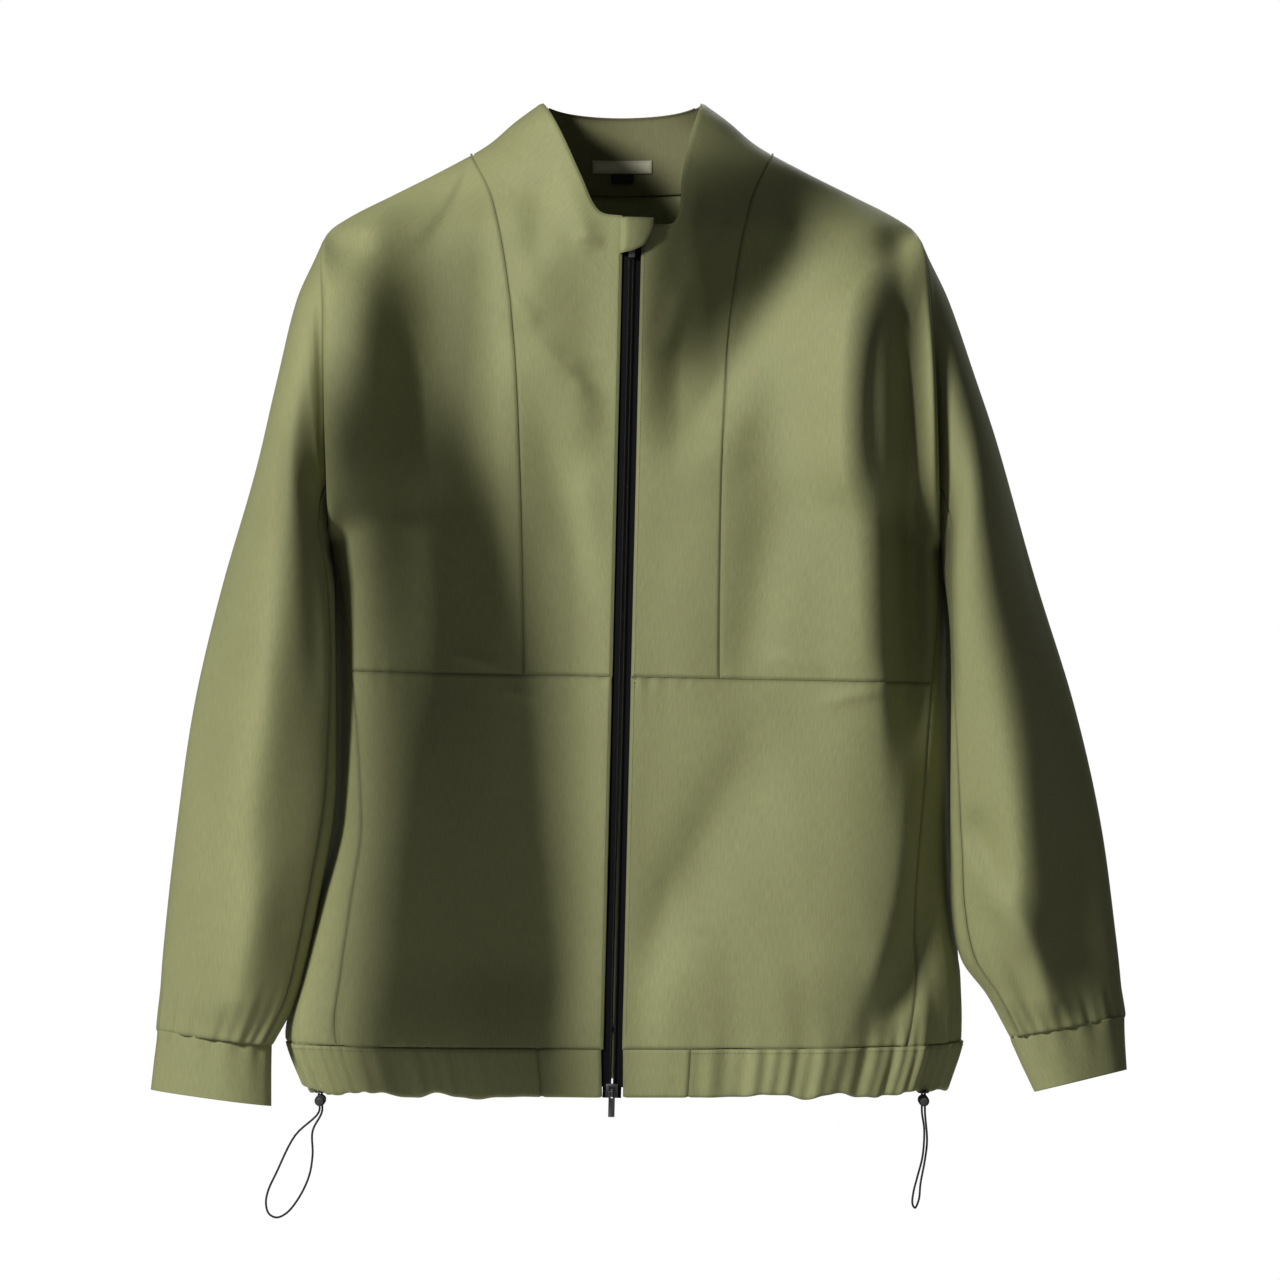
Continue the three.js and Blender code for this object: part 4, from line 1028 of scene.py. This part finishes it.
def sleeve_surface(side, j, t):
    """The whole sleeve: its first ring lies on the armhole's edge, on the body, and blends into the
    second."""
    t = np.broadcast_to(t, np.broadcast(j, t).shape)
    first = sleeve_ring(side, np.zeros_like(t), t)
    edge = np.where(np.sin(np.radians(t)) > 0, RIDGE, 180 - RIDGE)
    armhole = body(SIGN[side] * edge, first[..., 2])
    armhole[..., 0] += SIGN[side] * 0.3
    rest = sleeve_ring(side, np.maximum(j, 1), t)
    return mix(armhole, rest, np.clip(j, 0, 1)[..., None])


SLEEVE_FRONT = {
    "right": [
        ((-240, -90), (-290, -700), 24, 42, 33, -10),
        ((-236, -150), (-226, -420), -6, 10, 12, 0),
        ((-310, -300), (-335, -640), -4, 22, 20, 0),
        ((-262, -330), (-300, -520), 4, 16, 26, 4),
        ((-260, -520), (-306, -690), 5, 16, 20, 0),
    ],
    "left": [
        ((262, -80), (306, -700), 21, 32, 34, 8),
        ((318, -160), (340, -420), -4, 18, 20, 0),
        ((292, -440), (300, -620), 6, 22, 26, 6),
        ((338, -420), (360, -640), -6, 20, 22, 0),
        ((262, -490), (286, -560), -9, 10, 12, 0),
        ((262, -520), (300, -600), 8, 12, 14, 3),
        ((276, -560), (322, -670), -8, 10, 12, 0),
        ((300, -560), (330, -670), 8, 14, 14, 0),
    ],
}
SLEEVE_BACK = [
    ((262, -110), (270, -430), 7, 24, 26, 0),
    ((300, -200), (320, -520), -7, 22, 24, 0),
    ((250, -420), (320, -470), 6, 14, 20, 8),
    ((262, -480), (330, -520), -5, 14, 16, 6),
    ((280, -520), (320, -650), 6, 16, 22, 0),
]


def sleeve_cloth(side, j, t, depth=0.0):
    """The sleeve with its folds, which move it straight forwards or back, and least at its outline."""
    p = sleeve_surface(side, j, t)
    x, z = p[..., 0], p[..., 2]
    s = np.sin(np.radians(t))
    front = laid(SLEEVE_FRONT[side], x, z)
    back = laid(SLEEVE_BACK, np.abs(x), z)
    start = smoothstep(j, 0, 1.5) * (1 - 0.6 * smoothstep(j, 11, 12))
    high = np.where(s > 0, front, back) * start + ripple(x, z)
    p[..., 1] -= np.sign(s) * high * np.abs(s) ** 0.8
    gather = (0.9 * np.sin(0.21 * t + 0.7) + 0.7 * np.sin(0.47 * t + 0.3)) * smoothstep(j, 10.5, 12)
    centre = (sleeve_ring(side, j, 0 * t) + sleeve_ring(side, j, 0 * t + 180)) / 2
    return p + unit(p - centre) * (gather - depth)[..., None]


FRONT_SEAM, BACK_SEAM, SLEEVE_GAP = 130.0, -120.0, 0.4
BLEND_SLOPE = -0.3
BLEND_START, BLEND_END = 330, 440


def blend_point(sign, far):
    """A point, in metres, on a slanted line out and down from the frame's origin; `far` sets how far along it."""
    direction = np.array([1, 0, BLEND_SLOPE]) / np.hypot(1, BLEND_SLOPE)
    x, _, z = direction * far / np.hypot(1, BLEND_SLOPE)
    return (sign * x * MM, 0, z * MM)


def sleeve_piece(name, side, start, end, width, node_name):
    """One of a sleeve's two pieces, between two seams along the tube."""
    levels = RING_OUTER + [SLEEVE[side]["wrist"][0]]
    down = mix(levels[0], levels[-1], crowded(190, 0.5))
    j = np.interp(down, levels[::-1], np.arange(13)[::-1])
    t, j = np.meshgrid(mix(start, end, crowded(int(width / 3.2))), j)
    outline = sleeve_surface(side, j, t)
    core = outline.reshape(-1, 3).mean(axis=0) * (1, 0, 1)
    made = sew(name, sleeve_cloth(side, j, t), outline, core, [node_name], "shell_cloth", olive, None)
    start, end = (blend_point(SIGN[side], far) for far in (BLEND_START, BLEND_END))
    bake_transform(made[0])


for side in ("right", "left"):
    sleeve_piece(f"{side}_sleeve_top", side, BACK_SEAM + SLEEVE_GAP, FRONT_SEAM - SLEEVE_GAP, 400,
                 f"{side}_top_sleeve")
    sleeve_piece(f"{side}_sleeve_under", side, FRONT_SEAM + SLEEVE_GAP, 360 + BACK_SEAM - SLEEVE_GAP, 180,
                 f"{side}_under_sleeve")

# %% [markdown]
# ## The cuffs
#
# A cuff is a short plain band, a little flared, with a hem at its lower edge and an elastic inside it.

# %% Cuffs
CUFF_DEPTH, CUFF_TAPER, CUFF_OVERLAP = 36, 4, 2.2


def cuff(side):
    """A closed band through three rings, turned in at its lower edge."""
    spec = np.array(SLEEVE[side]["cuff"], float)
    v = crowded(22, 0.7)
    v = np.concatenate([v, [1.0, 0.86, 0.6, 0.3]])
    edges = [np.interp(v, [0, 0.5, 1], spec[:, k])[:, None] for k in range(4)]
    overlap = CUFF_OVERLAP * np.exp(-40 * v[:, None])
    edges[0] = edges[0] + overlap
    edges[2] = edges[2] + overlap
    t = np.linspace(0, 360, 150, endpoint=False)[None]
    zo, xo, zi, xi = edges
    depth = (CUFF_DEPTH - CUFF_TAPER * v)[:, None]
    points = ring(SIGN[side], zo, xo, zi, xi, depth, np.ones_like(depth), t)
    middle = points.mean(axis=1, keepdims=True)
    inside = np.concatenate([np.zeros(22), [1.3, 1.5, 1.5, 1.5]])[:, None]
    wave = 0.9 * np.sin(np.radians(t) * 13 + 1) * np.exp(-3 * v[:, None]) + 0.7 * np.sin(np.radians(t) * 5)
    outline = points
    points = points + unit(points - middle) * (wave - inside)[..., None]
    return points, outline


for side in ("right", "left"):
    points, outline = cuff(side)
    centre = points.reshape(-1, 3).mean(axis=0)
    made = sew(f"{side}_cuff_band", points, outline, centre, [f"{side}_cuff"], "shell_cloth", olive,
               body_name=f"{side}_sleeve", closed=True, turned="", sink=0.0)

# %% [markdown]
# ## The zip
#
# The zip is a coil zip: a fine nylon coil is sewn along the edge of each woven tape, and the two coils
# mesh. At this size the coil shows as a row of slanting bars. Each bar is one small rounded shape of a
# few faces, and one array of places repeats it up both sides.

# %% Zip frame and coil
up = unit(ZIP_TOP - ZIP_BOTTOM)
across = unit(np.array([1.0, 0, 0]) - up[0] * up)
inward = np.cross(up, across)
ZIP_LENGTH = float(np.linalg.norm(ZIP_TOP - ZIP_BOTTOM))
COIL_PITCH = 1.4


def on_zip(x, y, z):
    """A place in the zip's own frame: across it, inwards and up from its lower end."""
    x, y, z = np.broadcast_arrays(x, y, z)
    return ZIP_BOTTOM + x[..., None] * across + y[..., None] * inward + z[..., None] * up


def bead(sides=6):
    """A small rounded bar along X, from -1 to 1, as a grid of rings."""
    turn = np.linspace(0, 2 * np.pi, sides, endpoint=False)
    x = np.array([-1.0, -0.8, 0.0, 0.8, 1.0])[:, None]
    r = np.array([0.0, 0.7, 1.0, 0.7, 0.0])[:, None]
    shape = np.stack(np.broadcast_arrays(x, r * np.cos(turn), r * np.sin(turn)), -1)
    return shape, grid_quads(5, sides, True)


def repeated(name, shape, quads, centres, axes):
    """Copies of a small shape: its X, Y and Z are carried by three arrays of vectors at each centre."""
    turned = sum(shape[None, ..., k, None] * axes[k][:, None, None, :] for k in range(3))
    points = centres[:, None, None, :] + turned
    count = shape.shape[0] * shape.shape[1]
    all_quads = (quads[None] + (np.arange(len(centres)) * count)[:, None, None]).reshape(-1, 4)
    return new_mesh(name, points.reshape(-1, 3), all_quads)


for side in ("right", "left"):
    sign = SIGN[side]
    z = np.arange(9.0, ZIP_LENGTH - 4, COIL_PITCH) + (0.35 if sign > 0 else 0)
    shape, quads = bead()
    centres = on_zip(sign * 1.45 + 0 * z, 1.15 + 0 * z, z)
    axes = [np.tile((across * sign + 0.25 * up) * 0.95, (len(z), 1)), np.tile(inward * 0.62, (len(z), 1)),
            np.tile(up * 0.5 * sign, (len(z), 1))]
    coil = repeated(f"{side}_zip_coil", shape, quads, centres, axes)
    coil.data.materials.append(coil_black)
    belongs(coil, "jacket", "zip_teeth", f"{side}_zip_teeth")
    print(side, "coil", len(z), "turns")

# %% [markdown]
# The tape, the pins and the stops are right as the frame has them and get their finishes. The sliders,
# the pulls and the eyelets have sharp corners in the frame: a merged copy of each gets rounded edges from
# a Bevel modifier.

# %% Carried-over and rounded parts
def finish_node(name, finish):
    """Gives a frame node a new finish."""
    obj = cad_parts[name]
    obj.data.materials.clear()
    obj.data.materials.append(finish)


CARRIED_OVER = {
    "zip_tape": tape_black, "zip_pin": metal_black, "zip_top_stop": metal_black,
    "cuff_elastic": tape_black, "stopper_spring": spring_steel,
}
MERGE_DISTANCE, FLAT_ANGLE = 0.00001, 0.02


def rounded(node_name, piece_name, body_name, slot, finish, width):
    """A copy of a frame node with its loose triangles merged and its edges rounded."""
    obj = linked(piece_name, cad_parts[node_name].data.copy())
    bm = bmesh.new()
    bm.from_mesh(obj.data)
    bmesh.ops.remove_doubles(bm, verts=bm.verts, dist=MERGE_DISTANCE)
    bmesh.ops.dissolve_limit(bm, angle_limit=FLAT_ANGLE, verts=bm.verts, edges=bm.edges)
    for face in bm.faces:
        face.smooth = True
    bm.to_mesh(obj.data)
    bm.free()
    bevel = obj.modifiers.new("rounded edges", "BEVEL")
    bevel.width = width * MM
    bevel.segments = 2
    bevel.limit_method = "ANGLE"
    bevel.harden_normals = True
    obj.data.materials.clear()
    obj.data.materials.append(finish)
    belongs(obj, body_name, slot, node_name)


for side in ("right", "left"):
    for part, finish in CARRIED_OVER.items():
        finish_node(f"{side}_{part}", finish)
    rounded(f"{side}_eyelet", f"{side}_hem_eyelet", "jacket", "black_metal", metal_black, 0.25)
    rounded(f"{side}_stopper_barrel", f"{side}_cord_lock", "jacket", "stopper_plastic", lock_black, 0.5)
    rounded(f"{side}_stopper_plunger", f"{side}_lock_plunger", f"{side}_plunger", "stopper_plastic",
            lock_black, 0.3)
for level in ("upper", "lower"):
    rounded(f"{level}_slider", f"{level}_zip_slider", f"{level}_slider", "black_metal", metal_black, 0.35)
    rounded(f"{level}_pull", f"{level}_zip_pull", f"{level}_pull", "black_metal", metal_black, 0.3)

# %% [markdown]
# The drawcord inside the casing has to follow the ruffles, so it is a tube carried along the casing's own
# path.

# %% Drawcord in the casing
def cased(name, node_name, angles):
    """The cord in the middle of the casing's channel, along an array of angles."""
    turns = signed(angles)
    z = np.full(len(angles), HEM_BOTTOM + 3.6)
    path = draped(turns, z, CHANNEL / 2 + 0.8)
    path[:, 2] = z
    piece, length = tube(name, path, CORD / 2, 8, side_axis=(0, 0, 1))
    piece.data.materials.append(braid)
    belongs(piece, "jacket", "elastic_cord", node_name)
    print(name, round(length), "mm")


eyelet_angle = float(angle_at(EYELET_X, HEM_BOTTOM))
cased("cord_in_front_right", "drawcord_front_right", np.linspace(hem_angle["right"], 4 - eyelet_angle, 90))
cased("cord_in_front_left", "drawcord_front_left", np.linspace(hem_angle["left"], eyelet_angle - 4, 90))
cased("cord_in_back", "drawcord_back", np.linspace(eyelet_angle + 4, 356 - eyelet_angle, 220))

# %% [markdown]
# The garage is a small folded flap beside the top of the zip, which covers the slider so that it doesn't
# rub the chin. It curves over the slider and its end is cut round.

# %% Zip garage
def garage():
    """A sheet over the slider: its profile rises from the cloth and bows over the zip, and its far edge
    is cut on a curve."""
    profile = curve([(0, -1.6), (0.1, -2.6), (0.17, -6.1), (0.46, -6.6), (0.77, -6.1), (1, -5.2)])
    u, v = grid(27, 27, 0.7, 0.6)
    x = mix(-10.0, 16.0, u) - 7 * u * (1 - v) ** 2
    z = ZIP_LENGTH - 24 + 27 * v + 6 * u * u * (1 - v)
    y = profile(u) - 0.35 * np.sin(np.pi * v) * u - 0.25 * np.sin(9 * v + 4 * u)
    points = on_zip(x, y, z)
    core = on_zip(np.array(3.0), np.array(40.0), np.array(ZIP_LENGTH - 12))
    return sew("garage_flap_piece", points, points, core, ["zip_garage"], "shell_cloth", olive,
               body_name="garage_flap", sink=0.35, thickness=0.9)


garage()

# %% [markdown]
# ## Stitches
#
# Rows of small stitches hold the hem casing and the zip's edges, and short bars of dense stitches lock the
# pocket's ends. A stitch is a little rounded bar, half sunk in the cloth, repeated along a line.

# %% Rows of stitches
STITCH, STITCH_RADIUS = 1.05, 0.26  # half a stitch's length, and its radius
HEM_STITCHES, ZIP_STITCHES = 3.0, 2.4  # how far the rows are from their seams
BARTACKS = (-402.0, -424.0)


def stitch_row(name, path, out, pitch):
    """Stitches along a path of points: evenly spaced by length, each lying along the path."""
    run = run_of(path)
    at = np.arange(pitch / 2, run[-1], pitch)

    def sampled(vectors, places):
        return np.stack([np.interp(places, run, vectors[:, k]) for k in range(3)], -1)

    centres = sampled(path, at)
    along = unit(sampled(path, at + 0.5) - centres)
    out = sampled(out, at)
    side = unit(np.cross(along, out))
    shape, quads = bead()
    axes = [along * STITCH, side * STITCH_RADIUS, unit(out) * STITCH_RADIUS]
    obj = repeated(name, shape, quads, centres + out * 0.05, axes)
    obj.data.materials.append(stitch_thread)
    belongs(obj, "jacket", "shell_cloth")


def body_row(name, angle, z, pitch=2.9):
    """A row of stitches on the body's draped surface."""
    angle, z = np.broadcast_arrays(np.asarray(angle, float), np.asarray(z, float))
    stitch_row(name, draped(angle, z), out_level(angle, z), pitch)


hem_turns = np.linspace(hem_angle["left"], 360 + hem_angle["right"], 900)
body_row("hem_stitches", signed(hem_turns), HEM_SEAM - HEM_STITCHES)
for side in ("right", "left"):
    sign = SIGN[side]
    z = np.linspace(-58, -660, 260)
    body_row(f"{side}_zip_stitches", angle_at(zip_x(z) + sign * (ZIP_HALF + ZIP_STITCHES), z), z, 3.2)
    for k, high in enumerate(BARTACKS):
        rise = np.linspace(0, 7, 12)
        turn = sign * pocket_angle(high)
        body_row(f"{side}_bartack_{k}", turn - sign * rise * 0.27, high + 0 * rise, 0.7)

# %% [markdown]
# ## Finishing the cords
#
# The loops get their braid, and each loop's length is worked out.

# %% Cord braid and length
for side in ("left", "right"):
    path = cord_paths[side]
    length = float(np.linalg.norm(np.diff(path, axis=0), axis=1).sum())
    cords[side].data.materials.append(braid)

# %% [markdown]
# ## Light, floor and surroundings
#
# One large soft light stands to the left, in front and above, so that it grazes the front and its folds.
# Cards that only stop this light stand for what shades the chest, the collar and the outer sleeve in a
# real room: each throws a soft-edged shadow. A weak light stands behind for the back. The surroundings
# are white to the camera, and give a little light from everywhere.

# %% Studio
def area_light(name, place, target, size, power):
    """A square white light at a place, which looks at a target."""
    data = bpy.data.lights.new(name, "AREA")
    data.size = size
    data.energy = power
    obj = linked(name, data)
    obj.location = place
    obj.rotation_euler = (Vector(target) - Vector(place)).to_track_quat("-Z", "Y").to_euler()


KEY_TURN, KEY_RISE, KEY_DISTANCE = np.radians(49), np.radians(22), 3.8
KEY_LEVEL = np.cos(KEY_RISE)
TO_KEY = np.array([-KEY_LEVEL * np.cos(KEY_TURN), -KEY_LEVEL * np.sin(KEY_TURN), np.sin(KEY_RISE)])
area_light("key", TO_KEY * KEY_DISTANCE + (0, 0, -0.35), (0, 0, -0.35), 0.7, 176)


def flag(name, outline, surface, reach=300.0):
    """A card that keeps the key light off part of the front. Its outline is drawn on the jacket, as x and
    z in the front view at depth `surface`, and carried towards the light."""
    points = np.array([(x, surface, z) for x, z in outline], float) + TO_KEY * reach
    mesh = bpy.data.meshes.new(name)
    mesh.from_pydata((points * MM).tolist(), [], [list(range(len(points)))])
    card = linked(name, mesh)
    card.data.materials.append(material(name, (0.02, 0.02, 0.02), 0.9))
    card.visible_camera = card.visible_diffuse = card.visible_glossy = False


flag("flag_beside_sleeve", [
    (-176, -40), (-142, -60), (-122, -180), (-74, -278), (-52, -376), (-44, -473), (-28, -596), (-14, -720),
    (-214, -720), (-216, -240), (-204, -200), (-174, -180),
], -84)
flag("flag_collar", [
    (16, -20), (20, -60), (26, -170), (44, -160), (88, -104), (126, -62), (104, 12), (66, 40), (52, 10),
], -72, 150.0)
flag("flag_armhole", [
    (204, -50), (222, -50), (234, -120), (240, -260), (238, -400), (216, -400), (206, -260), (204, -120),
], -56, 170.0)
flag("flag_outer_sleeve", [
    (262, -110), (312, -300), (328, -480), (314, -600), (370, -650), (420, -650), (400, -400), (350, -200),
    (300, -90),
], -60)
area_light("back", (0.9, 3.2, 1.6), (0, 0, -0.3), 1.6, 40)

world = bpy.data.worlds.new("studio")
bpy.context.scene.world = world
world.use_nodes = True
tree = world.node_tree
background = tree.nodes["Background"]
light_path = tree.nodes.new("ShaderNodeLightPath")
blend_white = tree.nodes.new("ShaderNodeMix")
blend_white.data_type = "RGBA"
blend_white.inputs[6].default_value = (0.095, 0.098, 0.1, 1)
blend_white.inputs[7].default_value = (1, 1, 1, 1)
tree.links.new(light_path.outputs["Is Camera Ray"], blend_white.inputs[0])
tree.links.new(blend_white.outputs[2], background.inputs["Color"])
bpy.context.scene.view_settings.view_transform = "Standard"

FLOOR_LEVEL = -950
turn = np.linspace(0, 2 * np.pi, 96, endpoint=False)
radius = np.array([0.001, 300, 597, 600, 600, 597, 300, 0.001])[:, None]
level = np.array([0, 0, 0, -2, -14, -16, -16, -16])[:, None] + FLOOR_LEVEL
disc = np.broadcast_arrays(radius * np.cos(turn), radius * np.sin(turn), level)
floor = new_mesh("floor", np.stack(disc, -1), grid_quads(8, 96, True)[:, ::-1])
floor.data.materials.append(moulded("pale_floor", (0.8, 0.79, 0.77), 0.6, grain=60, wear=0))
